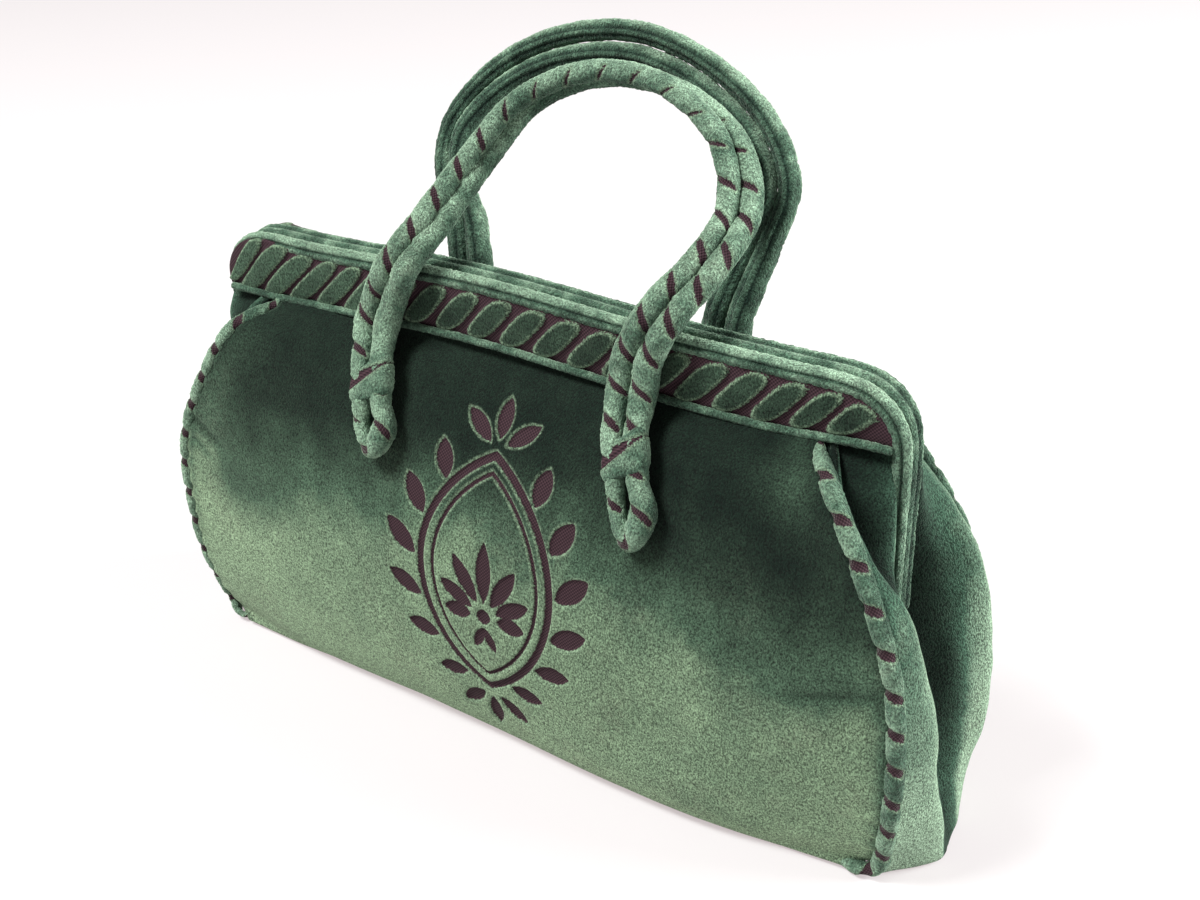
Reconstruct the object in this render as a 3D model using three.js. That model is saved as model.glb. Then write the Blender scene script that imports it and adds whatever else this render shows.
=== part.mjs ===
// A velvet handbag with a closed frame mouth: two bulging panels, folded end gussets, a flat base,
// piped seams, a leaf strip on each half of the frame and two handles of doubled velvet cord.
// Millimetres, +Z up. The origin is the middle of the base's underside, and the front faces -Y.
import * as THREE from 'three';

// Cloth walls and the clearance between neighbouring pieces
const PANEL_WALL = 2.0;
const GUSSET_WALL = 1.8;
const BASE_WALL = 2.0;
const GAP = 0.3;

// Seam piping, which stands between each panel and the gussets
const PIPING_RADIUS = 3.2;
const PIPING_INSET = PIPING_RADIUS + 5 * GAP;
const PIPING_SIDES = 8;
const PIPING_STEPS = 48;
const BASE_RUN_DEPTH = 27.0;
const BASE_RUN_HEIGHT = 4.0;
const BASE_RUN_ENDS = [143, 110, 60, 0];

// Frame: a padded roll runs up one arm, over the mouth and down the other arm
const ARM_X = 138;
const ARM_FOOT = 105;
const CORNER_RADIUS = 19;
const ROLL_TOP = 173;
const ROLL_RADIUS = 3.1;
const ROLL_SIDES = 8;
const ROLL_STEPS = 44;
const FRONT_ROLL = { centre: -5.5, depth: 3.1 };
const BACK_ROLL = { centre: 3.0, depth: 4.8 };

// The mouth arches up a little between the handles
const RISE = 3.0;
const RISE_CENTRE = -22;
const RISE_REACH = 92;
const RISE_FADE = 0.2;

// Leaf strip inside the roll, and the thin edging cord along its lower edge
const STRIP_BOTTOM = 154;
const STRIP_DEPTH = 5.8;
const STRIP_RECESS = 0.2;
const EDGING_RADIUS = 1.4;
const EDGING_HEIGHT = STRIP_BOTTOM - EDGING_RADIUS - GAP;
const EDGING_HALF = 134;
const EDGING_SIDES = 6;
const EDGING_STEPS = 12;

// Handle cord and the velvet sleeve that binds the two strands of each leg
const CORD_SIDES = 8;
const CORD_STEPS = 88;
const SLEEVE_LENGTH = 11;
const SLEEVE_WALL = 1.6;
const SLEEVE_CLEARANCE = 0.8;

// Panel rows from the mouth down: the side seam and the panel's own middle line
const PANEL_ROWS = [
  { seamX: 113.7, seamDepth: 11.6, seamHeight: 150.0, midDepth: 5.8, midHeight: 149.8 },
  { seamX: 124.7, seamDepth: 24.3, seamHeight: 143.9, midDepth: 14.0, midHeight: 144.5 },
  { seamX: 138.4, seamDepth: 31.2, seamHeight: 123.4, midDepth: 29.0, midHeight: 124.0 },
  { seamX: 151.6, seamDepth: 35.7, seamHeight: 92.6, midDepth: 40.0, midHeight: 92.6 },
  { seamX: 155.0, seamDepth: 36.1, seamHeight: 61.8, midDepth: 44.0, midHeight: 61.8 },
  { seamX: 154.5, seamDepth: 35.3, seamHeight: 36.1, midDepth: 43.5, midHeight: 35.0 },
  { seamX: 151.7, seamDepth: 31.5, seamHeight: 15.5, midDepth: 41.0, midHeight: 14.0 },
  { seamX: 148.8, seamDepth: 28.2, seamHeight: 7.5, midDepth: 37.0, midHeight: 4.5 },
];
const PANEL_HEM = { sideX: 136, sideDepth: 32.6, sideHeight: 2.4, midDepth: 32.4, midHeight: 1.8 };
const PANEL_ACROSS = 18;
const PANEL_DOWN = 14;

// Gusset rows from the floor up: seam edge, outward bulge, turn beside the arm, inward fold
const GUSSET_ROWS = [
  { z: 1.5, edgeX: 150.5, edgeY: 25.0, bulgeX: 158.0, bulgeY: 18.5, turnX: 163.5, turnY: 9.0, foldX: 165 },
  { z: 16, edgeX: 153.9, edgeY: 28.5, bulgeX: 160.5, bulgeY: 20.0, turnX: 164.0, turnY: 10.0, foldX: 163 },
  { z: 41, edgeX: 156.8, edgeY: 32.4, bulgeX: 162.3, bulgeY: 22.0, turnX: 160.5, turnY: 11.0, foldX: 152 },
  { z: 66, edgeX: 157.2, edgeY: 33.0, bulgeX: 162.5, bulgeY: 24.0, turnX: 156.0, turnY: 12.5, foldX: 139 },
  { z: 88, edgeX: 154.8, edgeY: 32.8, bulgeX: 159.0, bulgeY: 25.0, turnX: 149.0, turnY: 14.0, foldX: 126 },
  { z: 106, edgeX: 149.4, edgeY: 31.0, bulgeX: 153.0, bulgeY: 24.0, turnX: 144.0, turnY: 15.5, foldX: 116 },
  { z: 123.4, edgeX: 140.6, edgeY: 28.2, bulgeX: 143.0, bulgeY: 21.5, turnX: 138.5, turnY: 13.8, foldX: 113 },
  { z: 140, edgeX: 129.6, edgeY: 22.4, bulgeX: 129.5, bulgeY: 16.5, turnX: 134.5, turnY: 12.4, foldX: 112 },
  { z: 150, edgeX: 117.0, edgeY: 9.4, bulgeX: 123.5, bulgeY: 8.4, turnX: 131.5, turnY: 8.8, foldX: 112 },
];
const GUSSET_ACROSS = 18;
const GUSSET_UP = 14;

// Strand thickness by height: end loop, sleeve, leg and arch
const STRAND_ROWS = [
  { height: 114, radius: 3.4 },
  { height: 128, radius: 3.4 },
  { height: 140, radius: 3.7 },
  { height: 157, radius: 4.2 },
  { height: 180, radius: 3.9 },
  { height: 200, radius: 3.5 },
  { height: 256, radius: 3.5 },
];

// Handle routes: one strand from the left end loop to the right one, and the step to its mate
const FRONT_HANDLE = {
  leftBight: [-48, -38.2, 117.5],
  rightBight: [59, -38.7, 115],
  strand: [
    { x: -53, y: -35.3, z: 126, mate: [10, 0, 0] },
    { x: -55, y: -31.9, z: 135.5, mate: [8.4, 0, 0] },
    { x: -59, y: -26.7, z: 145.5, mate: [8.4, 0, 0] },
    { x: -62.5, y: -18, z: 156.5, mate: [8.9, 0, 0] },
    { x: -60, y: -14.3, z: 167, mate: [8.8, 0, 0] },
    { x: -52, y: -14.8, z: 181, mate: [8, 1, 0] },
    { x: -42.8, y: -5, z: 196, mate: [5.8, 5, -1] },
    { x: -34, y: 13, z: 214, mate: [4.5, 6.1, -1] },
    { x: -19.3, y: 25, z: 230.7, mate: [2, 7.1, -0.5] },
    { x: 5, y: 32, z: 240.5, mate: [0, 7.5, 0] },
    { x: 34, y: 31.5, z: 240, mate: [2, 7.2, 0] },
    { x: 57, y: 25.5, z: 228, mate: [5, 5.6, 0] },
    { x: 66.5, y: 14.5, z: 212.5, mate: [6.5, 3.8, 0] },
    { x: 64, y: -1, z: 201, mate: [7.3, 1.5, -1] },
    { x: 54, y: -11.5, z: 187, mate: [7.7, 0.5, -2] },
    { x: 45.7, y: -14.4, z: 170, mate: [8.7, 0, 0] },
    { x: 44.5, y: -18, z: 156.5, mate: [8.9, 0, 0] },
    { x: 47, y: -26.9, z: 145, mate: [8.4, 0, 0] },
    { x: 51, y: -32.1, z: 135, mate: [8.4, 0, 0] },
    { x: 53.5, y: -35.9, z: 124.5, mate: [10, 0, 0] },
  ],
};
const BACK_HANDLE = {
  leftBight: [-47, 38.2, 117],
  rightBight: [61.5, 38.0, 117],
  strand: [
    { x: -52, y: 35.6, z: 126, mate: [10, 0, 0] },
    { x: -51, y: 31.5, z: 136, mate: [8.4, 0, 0] },
    { x: -50, y: 26.5, z: 146, mate: [8.4, 0, 0] },
    { x: -48.5, y: 22, z: 158, mate: [8.9, 0, 0] },
    { x: -48, y: 21.5, z: 172, mate: [8.5, 0, 0] },
    { x: -52, y: 26.5, z: 186, mate: [7.8, 0, -1.5] },
    { x: -60.5, y: 32.5, z: 199, mate: [7.4, -1, -1] },
    { x: -62, y: 39, z: 211, mate: [7.4, -2, 0] },
    { x: -57, y: 44, z: 222, mate: [6.8, -2.4, -2.5] },
    { x: -43, y: 51, z: 236, mate: [4.7, -2.8, -5.3] },
    { x: -20, y: 56, z: 247, mate: [2, -3, -6.8] },
    { x: 10, y: 57.5, z: 251, mate: [-0.5, -3, -7] },
    { x: 40, y: 54.5, z: 244, mate: [-3, -2.8, -6.3] },
    { x: 65, y: 47, z: 230, mate: [-5.5, -2.5, -4.4] },
    { x: 76, y: 40, z: 213, mate: [-7.4, -2, -0.6] },
    { x: 74, y: 33, z: 198, mate: [-7.5, -1, 1] },
    { x: 71, y: 27, z: 185, mate: [-7.8, 0, 1] },
    { x: 68, y: 22, z: 172, mate: [-8.5, 0, 0] },
    { x: 66.5, y: 22, z: 158, mate: [-8.9, 0, 0] },
    { x: 66, y: 26.5, z: 146, mate: [-8.4, 0, 0] },
    { x: 66, y: 31.5, z: 136, mate: [-8.4, 0, 0] },
    { x: 66.5, y: 35.4, z: 126, mate: [-10, 0, 0] },
  ],
};

const velvet = new THREE.MeshStandardMaterial({ color: 0x4a7a55, roughness: 0.95, metalness: 0 });
const trimVelvet = new THREE.MeshStandardMaterial({ color: 0x5f9168, roughness: 0.95, metalness: 0 });
const leafVelvet = new THREE.MeshStandardMaterial({ color: 0x4b3a44, roughness: 0.95, metalness: 0 });

const bag = new THREE.Group();

function addPiece(name, geometry, material) {
  const piece = new THREE.Mesh(geometry, material);
  piece.name = name;
  bag.add(piece);
  return piece;
}

// Closed body from points and triangles, turned so that its faces point out
function closedBody(points, triangles) {
  const cross = new THREE.Vector3();
  let volume = 0;
  for (const [a, b, c] of triangles) {
    volume += points[a].dot(cross.crossVectors(points[b], points[c]));
  }
  const outward = volume > 0 ? triangles : triangles.map(([a, b, c]) => [a, c, b]);
  const geometry = new THREE.BufferGeometry().setFromPoints(points);
  geometry.setIndex(outward.flat());
  geometry.computeVertexNormals();
  return geometry;
}

function addQuad(triangles, a, b, c, d) {
  triangles.push([a, b, c], [a, c, d]);
}

function sheetNormal(sheet, u, v) {
  const step = 0.004;
  const alongU = sheet(Math.min(u + step, 1), v).sub(sheet(Math.max(u - step, 0), v));
  const alongV = sheet(u, Math.min(v + step, 1)).sub(sheet(u, Math.max(v - step, 0)));
  return alongU.cross(alongV).normalize();
}

// Cloth of even thickness about a curved sheet, with its four rims closed
function clothWall(sheet, across, along, thickness) {
  const points = [];
  const triangles = [];
  for (const side of [0.5, -0.5]) {
    for (let j = 0; j <= along; j++) {
      for (let i = 0; i <= across; i++) {
        const u = i / across;
        const v = j / along;
        points.push(sheet(u, v).addScaledVector(sheetNormal(sheet, u, v), side * thickness));
      }
    }
  }
  const skin = (across + 1) * (along + 1);
  const at = (layer, i, j) => layer * skin + j * (across + 1) + i;
  for (let j = 0; j < along; j++) {
    for (let i = 0; i < across; i++) {
      addQuad(triangles, at(0, i, j), at(0, i + 1, j), at(0, i + 1, j + 1), at(0, i, j + 1));
      addQuad(triangles, at(1, i, j), at(1, i, j + 1), at(1, i + 1, j + 1), at(1, i + 1, j));
    }
    addQuad(triangles, at(0, 0, j), at(0, 0, j + 1), at(1, 0, j + 1), at(1, 0, j));
    addQuad(triangles, at(0, across, j), at(1, across, j), at(1, across, j + 1), at(0, across, j + 1));
  }
  for (let i = 0; i < across; i++) {
    addQuad(triangles, at(0, i, 0), at(1, i, 0), at(1, i + 1, 0), at(0, i + 1, 0));
    addQuad(triangles, at(0, i, along), at(0, i + 1, along), at(1, i + 1, along), at(1, i, along));
  }
  return closedBody(points, triangles);
}

// Right half of a panel's seam, from the mouth down the side and in along the hem
function seamStops(facing) {
  const down = PANEL_ROWS.map((row) => new THREE.Vector3(row.seamX, facing * row.seamDepth, row.seamHeight));
  const under = BASE_RUN_ENDS.map((x) => new THREE.Vector3(x, facing * BASE_RUN_DEPTH, BASE_RUN_HEIGHT));
  return [...down, ...under];
}

// Panel of the front (facing -1) or back (facing 1), crowned between its two side seams
function panelGeometry(facing) {
  const middles = [...PANEL_ROWS, PANEL_HEM].map((row) => (
    new THREE.Vector3(0, facing * row.midDepth, row.midHeight)
  ));
  const seam = new THREE.CatmullRomCurve3(seamStops(facing));
  const sides = PANEL_ROWS.map((row, k) => {
    const place = k / (seam.points.length - 1);
    const tangent = seam.getTangent(place);
    const inward = middles[k].clone().sub(seam.points[k]);
    inward.addScaledVector(tangent, -inward.dot(tangent)).normalize();
    return seam.points[k].clone().addScaledVector(inward, PIPING_INSET);
  });
  sides.push(new THREE.Vector3(PANEL_HEM.sideX, facing * PANEL_HEM.sideDepth, PANEL_HEM.sideHeight));
  const sideLine = new THREE.CatmullRomCurve3(sides);
  const middleLine = new THREE.CatmullRomCurve3(middles);
  const sheet = (u, v) => {
    const reach = 2 * u - 1;
    const point = sideLine.getPoint(v).lerp(middleLine.getPoint(v), 1 - reach * reach);
    point.x = sideLine.getPoint(v).x * reach;
    point.z += mouthRise(point.x) * Math.max(0, 1 - v / RISE_FADE);
    return point;
  };
  return clothWall(sheet, PANEL_ACROSS, PANEL_DOWN, PANEL_WALL);
}

// End gusset on the right (side 1) or left (side -1): an inward fold that opens out at the floor
function gussetGeometry(side) {
  const lines = [];
  const stops = [['edgeX', 'edgeY', -1], ['bulgeX', 'bulgeY', -1], ['turnX', 'turnY', -1], ['foldX', null, 0],
    ['turnX', 'turnY', 1], ['bulgeX', 'bulgeY', 1], ['edgeX', 'edgeY', 1]];
  for (const [xColumn, yColumn, half] of stops) {
    const line = GUSSET_ROWS.map((row) => (
      new THREE.Vector3(side * row[xColumn], half === 0 ? 0 : half * row[yColumn], row.z)
    ));
    lines.push(new THREE.CatmullRomCurve3(line));
  }
  const sheet = (u, v) => new THREE.CatmullRomCurve3(lines.map((line) => line.getPoint(v))).getPoint(u);
  return clothWall(sheet, GUSSET_ACROSS, GUSSET_UP, GUSSET_WALL);
}

// Flat base whose ends follow the foot of the gussets
function baseGeometry() {
  const foot = GUSSET_ROWS[0];
  const inset = GUSSET_WALL / 2 + 2 * GAP;
  const end = [
    [foot.edgeX, foot.edgeY],
    [foot.bulgeX, foot.bulgeY],
    [foot.turnX, foot.turnY],
    [foot.foldX, 0],
  ];
  const quarter = end.map(([x, y]) => new THREE.Vector2(x - inset, Math.max(y - inset, 0)));
  const half = [...quarter.slice(0, -1).map((p) => new THREE.Vector2(p.x, -p.y)), ...quarter.reverse()];
  const outline = new THREE.Shape();
  outline.moveTo(half[0].x, half[0].y);
  outline.splineThru(half.slice(1));
  outline.lineTo(-half[half.length - 1].x, half[half.length - 1].y);
  outline.splineThru(half.map((p) => new THREE.Vector2(-p.x, p.y)).reverse().slice(1));
  return new THREE.ExtrudeGeometry(outline, { depth: BASE_WALL, bevelEnabled: false, curveSegments: 6 });
}

// Round or oval section of a cord: across lies in Y on an upright route, along lies in its plane
function ovalSection(across, along, sides) {
  const points = [];
  for (let k = 0; k < sides; k++) {
    const angle = (2 * Math.PI * k) / sides;
    points.push(new THREE.Vector2(across * Math.cos(angle), along * Math.sin(angle)));
  }
  return new THREE.Shape(points);
}

function cordGeometry(route, section, steps) {
  return new THREE.ExtrudeGeometry(section, { steps, extrudePath: route, bevelEnabled: false });
}

// Seam piping: down one side of a panel, under its hem and up the other side
function pipingGeometry(facing) {
  const half = seamStops(facing);
  const mirrored = half.slice(0, -1).map((p) => new THREE.Vector3(-p.x, p.y, p.z)).reverse();
  const route = new THREE.CatmullRomCurve3([...half, ...mirrored]);
  return cordGeometry(route, ovalSection(PIPING_RADIUS, PIPING_RADIUS, PIPING_SIDES), PIPING_STEPS);
}

function mouthRise(x) {
  const away = Math.abs(x - RISE_CENTRE) / RISE_REACH;
  return away < 1 ? (RISE / 2) * (1 + Math.cos(Math.PI * away)) : 0;
}

// Even steps from one end of the mouth to the other
function mouthSteps(from, to) {
  const count = 12;
  return Array.from({ length: count + 1 }, (_, k) => THREE.MathUtils.lerp(from, to, k / count));
}

// Route of the frame roll: up one arm, round a corner, along the mouth and down the other arm
function rollGeometry(roll) {
  const half = [new THREE.Vector3(ARM_X, roll.centre, ARM_FOOT)];
  const shoulder = ROLL_TOP - CORNER_RADIUS;
  half.push(new THREE.Vector3(ARM_X, roll.centre, (ARM_FOOT + shoulder) / 2));
  const cornerSteps = 4;
  for (let k = 0; k <= cornerSteps; k++) {
    const angle = (Math.PI / 2) * (k / cornerSteps);
    const x = ARM_X - CORNER_RADIUS * (1 - Math.cos(angle));
    half.push(new THREE.Vector3(x, roll.centre, shoulder + CORNER_RADIUS * Math.sin(angle)));
  }
  const mirrored = half.map((p) => new THREE.Vector3(-p.x, p.y, p.z)).reverse();
  const straight = mouthSteps(half[half.length - 1].x, mirrored[0].x).slice(1, -1);
  const mouth = straight.map((x) => new THREE.Vector3(x, roll.centre, ROLL_TOP + mouthRise(x)));
  const route = new THREE.CatmullRomCurve3([...half, ...mouth, ...mirrored]);
  return cordGeometry(route, ovalSection(roll.depth, ROLL_RADIUS, ROLL_SIDES), ROLL_STEPS);
}

// Leaf strip that fills the frame inside its roll
function stripGeometry() {
  const inset = ROLL_RADIUS + 2 * GAP;
  const radius = CORNER_RADIUS - inset;
  const cornerX = ARM_X - CORNER_RADIUS;
  const shoulder = ROLL_TOP - CORNER_RADIUS;
  const bottom = mouthSteps(-cornerX - radius, cornerX + radius);
  const top = mouthSteps(cornerX, -cornerX).slice(1, -1);
  const arc = new THREE.EllipseCurve(cornerX, shoulder, radius, radius, 0, Math.PI / 2);
  const corner = arc.getPoints(6).slice(1);
  const points = [
    ...bottom.map((x) => new THREE.Vector2(x, STRIP_BOTTOM + mouthRise(x))),
    ...corner,
    ...top.map((x) => new THREE.Vector2(x, shoulder + radius + mouthRise(x))),
    ...corner.map((p) => new THREE.Vector2(-p.x, p.y)).reverse(),
  ];
  return new THREE.ExtrudeGeometry(new THREE.Shape(points), { depth: STRIP_DEPTH, bevelEnabled: false });
}

function edgingGeometry(y) {
  const stops = mouthSteps(-EDGING_HALF, EDGING_HALF).map((x) => (
    new THREE.Vector3(x, y, EDGING_HEIGHT + mouthRise(x))
  ));
  const section = ovalSection(EDGING_RADIUS, EDGING_RADIUS, EDGING_SIDES);
  return cordGeometry(new THREE.CatmullRomCurve3(stops), section, EDGING_STEPS);
}

function strandRadius(height) {
  const next = STRAND_ROWS.findIndex((row) => row.height >= height);
  if (next < 1) {
    return STRAND_ROWS[0].radius;
  }
  const low = STRAND_ROWS[next - 1];
  const high = STRAND_ROWS[next];
  return THREE.MathUtils.mapLinear(height, low.height, high.height, low.radius, high.radius);
}

// One endless cord: out along one strand, round an end loop, back along its mate
function handleGeometry(handle) {
  const out = handle.strand.map((stop) => new THREE.Vector3(stop.x, stop.y, stop.z));
  const back = handle.strand.map((stop, k) => out[k].clone().add(new THREE.Vector3(...stop.mate))).reverse();
  const rightBight = new THREE.Vector3(...handle.rightBight);
  const leftBight = new THREE.Vector3(...handle.leftBight);
  const route = new THREE.CatmullRomCurve3([...out, rightBight, ...back, leftBight], true);
  route.arcLengthDivisions = 8 * CORD_STEPS;
  const frames = route.computeFrenetFrames(CORD_STEPS, true);
  const points = [];
  const triangles = [];
  for (let k = 0; k < CORD_STEPS; k++) {
    const centre = route.getPointAt(k / CORD_STEPS);
    const radius = strandRadius(centre.z);
    for (let s = 0; s < CORD_SIDES; s++) {
      const angle = (2 * Math.PI * s) / CORD_SIDES;
      const point = centre.clone().addScaledVector(frames.normals[k], radius * Math.cos(angle));
      points.push(point.addScaledVector(frames.binormals[k], radius * Math.sin(angle)));
      const nextRing = ((k + 1) % CORD_STEPS) * CORD_SIDES;
      const nextSide = (s + 1) % CORD_SIDES;
      addQuad(triangles, k * CORD_SIDES + s, k * CORD_SIDES + nextSide, nextRing + nextSide, nextRing + s);
    }
  }
  return closedBody(points, triangles);
}

function stadium(path, halfSpan, radius) {
  path.moveTo(halfSpan, -radius);
  path.absarc(halfSpan, 0, radius, -Math.PI / 2, Math.PI / 2, false);
  path.absarc(-halfSpan, 0, radius, Math.PI / 2, 1.5 * Math.PI, false);
  path.closePath();
  return path;
}

// Velvet sleeve round both strands, between two stops of a leg
function addSleeve(name, low, high) {
  const lowPoint = new THREE.Vector3(low.x, low.y, low.z);
  const highPoint = new THREE.Vector3(high.x, high.y, high.z);
  const axis = highPoint.clone().sub(lowPoint).normalize();
  const span = new THREE.Vector3(...low.mate);
  const width = span.clone().addScaledVector(axis, -span.dot(axis));
  const halfSpan = width.length() / 2;
  width.normalize();
  const depth = axis.clone().cross(width);
  const middle = lowPoint.clone().add(highPoint).add(span).multiplyScalar(0.5);
  const bore = strandRadius(middle.z) + SLEEVE_CLEARANCE;
  const outline = stadium(new THREE.Shape(), halfSpan, bore + SLEEVE_WALL);
  outline.holes.push(stadium(new THREE.Path(), halfSpan, bore));
  const geometry = new THREE.ExtrudeGeometry(outline, {
    depth: SLEEVE_LENGTH, bevelEnabled: false, curveSegments: 5,
  });
  geometry.translate(0, 0, -SLEEVE_LENGTH / 2);
  const sleeve = addPiece(name, geometry, trimVelvet);
  sleeve.quaternion.setFromRotationMatrix(new THREE.Matrix4().makeBasis(width, depth, axis));
  sleeve.position.copy(middle);
}

addPiece('base', baseGeometry(), velvet);
addPiece('left_gusset', gussetGeometry(-1), velvet);
addPiece('right_gusset', gussetGeometry(1), velvet);

const HALVES = [
  { label: 'front', facing: -1, roll: FRONT_ROLL, handle: FRONT_HANDLE },
  { label: 'back', facing: 1, roll: BACK_ROLL, handle: BACK_HANDLE },
];
for (const { label, facing, roll, handle } of HALVES) {
  addPiece(`${label}_panel`, panelGeometry(facing), velvet);
  addPiece(`${label}_piping`, pipingGeometry(facing), trimVelvet);
  addPiece(`${label}_roll`, rollGeometry(roll), trimVelvet);

  // The strip's outer face lies just inside the roll's outer edge
  const outerFace = roll.centre + facing * (roll.depth - STRIP_RECESS);
  const strip = addPiece(`${label}_strip`, stripGeometry(), leafVelvet);
  strip.rotation.x = Math.PI / 2;
  strip.position.y = facing < 0 ? outerFace + STRIP_DEPTH : outerFace;
  addPiece(`${label}_edging`, edgingGeometry(outerFace - facing * STRIP_RECESS), trimVelvet);

  addPiece(`${label}_handle`, handleGeometry(handle), trimVelvet);
  const stops = handle.strand;
  addSleeve(`${label}_left_sleeve`, stops[1], stops[2]);
  addSleeve(`${label}_right_sleeve`, stops[stops.length - 2], stops[stops.length - 3]);
}

export default bag;
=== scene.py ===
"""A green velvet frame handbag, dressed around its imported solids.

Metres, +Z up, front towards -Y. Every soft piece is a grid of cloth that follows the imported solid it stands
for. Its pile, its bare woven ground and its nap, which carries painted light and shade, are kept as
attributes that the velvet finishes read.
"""

import logging
import math
from dataclasses import dataclass, field
from enum import Enum
from functools import partial
from typing import Callable

import bmesh
import bpy
import numpy as np
from mathutils import Matrix, Vector, noise

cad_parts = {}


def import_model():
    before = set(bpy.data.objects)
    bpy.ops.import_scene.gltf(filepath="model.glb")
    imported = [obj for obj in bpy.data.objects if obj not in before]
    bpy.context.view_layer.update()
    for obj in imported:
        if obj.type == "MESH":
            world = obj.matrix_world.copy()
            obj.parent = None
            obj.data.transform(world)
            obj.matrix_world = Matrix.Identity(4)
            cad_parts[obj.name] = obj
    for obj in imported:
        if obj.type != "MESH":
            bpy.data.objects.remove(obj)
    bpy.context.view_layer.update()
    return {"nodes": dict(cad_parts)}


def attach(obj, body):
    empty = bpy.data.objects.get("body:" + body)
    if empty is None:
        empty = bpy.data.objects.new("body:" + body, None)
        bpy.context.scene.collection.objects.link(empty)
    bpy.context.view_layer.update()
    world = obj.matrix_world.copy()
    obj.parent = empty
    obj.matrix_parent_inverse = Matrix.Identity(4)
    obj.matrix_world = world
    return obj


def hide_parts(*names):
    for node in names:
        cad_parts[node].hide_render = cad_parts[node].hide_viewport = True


LOG = logging.getLogger("handbag")
MM = 0.001
BODY = "root"
UV_MAP = "UVMap"
VOID = "void"
NAP = "nap"
VOID_REACH = 3 * MM
FLEECE_HEIGHT = 0.07 * MM
FLEECE_SIZE = 1.6 * MM
MERGE_GAP = 1e-6
TANGENT_STEP = 1e-3
ROUTE_STEPS = 60
LINE_STEPS = 800

Array = np.ndarray
Piece = bpy.types.Object
Socket = bpy.types.NodeSocket
Span = tuple[float, float]
Point = tuple[float, float, float]
Colour = tuple[float, float, float]


class Facing(Enum):
    """The half of the bag that a piece belongs to, by the way it faces along Y."""

    FRONT = -1
    BACK = 1

    @property
    def label(self) -> str:
        """The word that starts the half's piece names."""
        return self.name.lower()

    @property
    def way(self) -> Array:
        """The direction that the half faces."""
        return np.array((0, self.value, 0.0))


class Side(Enum):
    """The end of the bag that a piece belongs to, by its sign along X."""

    LEFT = -1
    RIGHT = 1

    @property
    def label(self) -> str:
        """The word that starts the end's piece names."""
        return self.name.lower()

    @property
    def way(self) -> Array:
        """The direction of the end from the bag's middle."""
        return np.array((self.value, 0, 0.0))


class Slot(Enum):
    """The record's material slots."""

    PANEL = "panel_velvet"
    TRIM = "trim_velvet"
    LEAF = "leaf_velvet"


class Held(Enum):
    """The ways that a sheet of velvet is held."""

    STRETCHED = "stretched"
    FOLDED = "folded"


@dataclass(frozen=True)
class PanelRow:
    """One row of a panel: its side seam and its own middle line, in millimetres."""

    seam_x: float
    seam_depth: float
    seam_height: float
    mid_depth: float
    mid_height: float


@dataclass(frozen=True)
class GussetRow:
    """One height of half an end gusset, from beside its seam to its inward fold, in millimetres."""

    z: float
    edge: Span
    bulge: Span
    pocket: Span
    turn: Span
    fold_x: float


@dataclass(frozen=True)
class Stop:
    """One stop of a handle strand and the step to its mate strand, in millimetres."""

    x: float
    y: float
    z: float
    mate: Point


PANEL_ROWS = (
    PanelRow(113.7, 11.6, 150.0, 5.8, 149.8),
    PanelRow(124.7, 24.3, 143.9, 14.0, 144.5),
    PanelRow(138.4, 31.2, 123.4, 29.0, 124.0),
    PanelRow(151.6, 35.7, 92.6, 40.0, 92.6),
    PanelRow(155.0, 36.1, 61.8, 44.0, 61.8),
    PanelRow(154.5, 35.3, 36.1, 43.5, 35.0),
    PanelRow(151.7, 31.5, 15.5, 41.0, 14.0),
    PanelRow(148.8, 28.2, 7.5, 37.0, 4.5),
)
BASE_RUN_ENDS = (143, 110, 60, 0)
BASE_RUN_DEPTH = 27
BASE_RUN_HEIGHT = 4

FRONT_GUSSET_ROWS = (
    GussetRow(1.5, (151.5, 25.5), (164.5, 12.5), (165.3, 9), (165, 5.5), 164.3),
    GussetRow(16, (154.2, 28.5), (165.2, 15), (164.5, 11), (162.5, 7.5), 158),
    GussetRow(41, (156.8, 32), (163.4, 21), (161.5, 15.5), (158.5, 10.5), 148),
    GussetRow(66, (157.2, 33), (161.6, 23.5), (159.5, 18), (155.5, 12.5), 139),
    GussetRow(88, (154.8, 32.8), (157.8, 25), (154.5, 19.5), (149, 14), 126),
    GussetRow(106, (149.2, 31), (151.5, 25), (147, 20), (142.5, 14.5), 116),
    GussetRow(114, (145, 29.8), (147, 25), (138, 21), (139.5, 11.5), 114),
    GussetRow(123.4, (139, 29.5), (140.5, 26.5), (124, 21), (139, 9.5), 113),
    GussetRow(140, (127.5, 24.5), (128, 23), (113, 17), (138.5, 9.3), 112),
    GussetRow(150, (114, 8.8), (113.5, 8), (113, 7.2), (136.5, 6.4), 112),
)
BACK_GUSSET_ROWS = (
    GussetRow(1.5, (151.5, 25.5), (159.5, 16.5), (161.8, 11.5), (163, 7), 164.3),
    GussetRow(16, (154.2, 28.5), (161, 20), (161.5, 14), (161, 8.5), 158),
    GussetRow(41, (156.8, 32.4), (163.8, 23.5), (161.5, 17), (158.5, 11), 148),
    GussetRow(66, (157.2, 33), (163.5, 25.5), (160, 18.5), (156, 12.5), 139),
    GussetRow(88, (154.8, 32.8), (159.8, 26.5), (155.5, 20), (149, 14), 126),
    GussetRow(106, (149.2, 31), (153, 26), (148, 20), (142.5, 14.5), 116),
    GussetRow(114, (145, 29.8), (148.5, 25.5), (144, 19.5), (140, 13), 114),
    GussetRow(123.4, (138.5, 29), (141.5, 24.5), (140, 17.5), (139, 11), 113),
    GussetRow(140, (126.5, 23.5), (128.5, 19.5), (133, 14), (138.5, 10), 112),
    GussetRow(150, (114, 8.8), (114, 8), (125, 7.2), (136.5, 6.4), 112),
)

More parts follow.
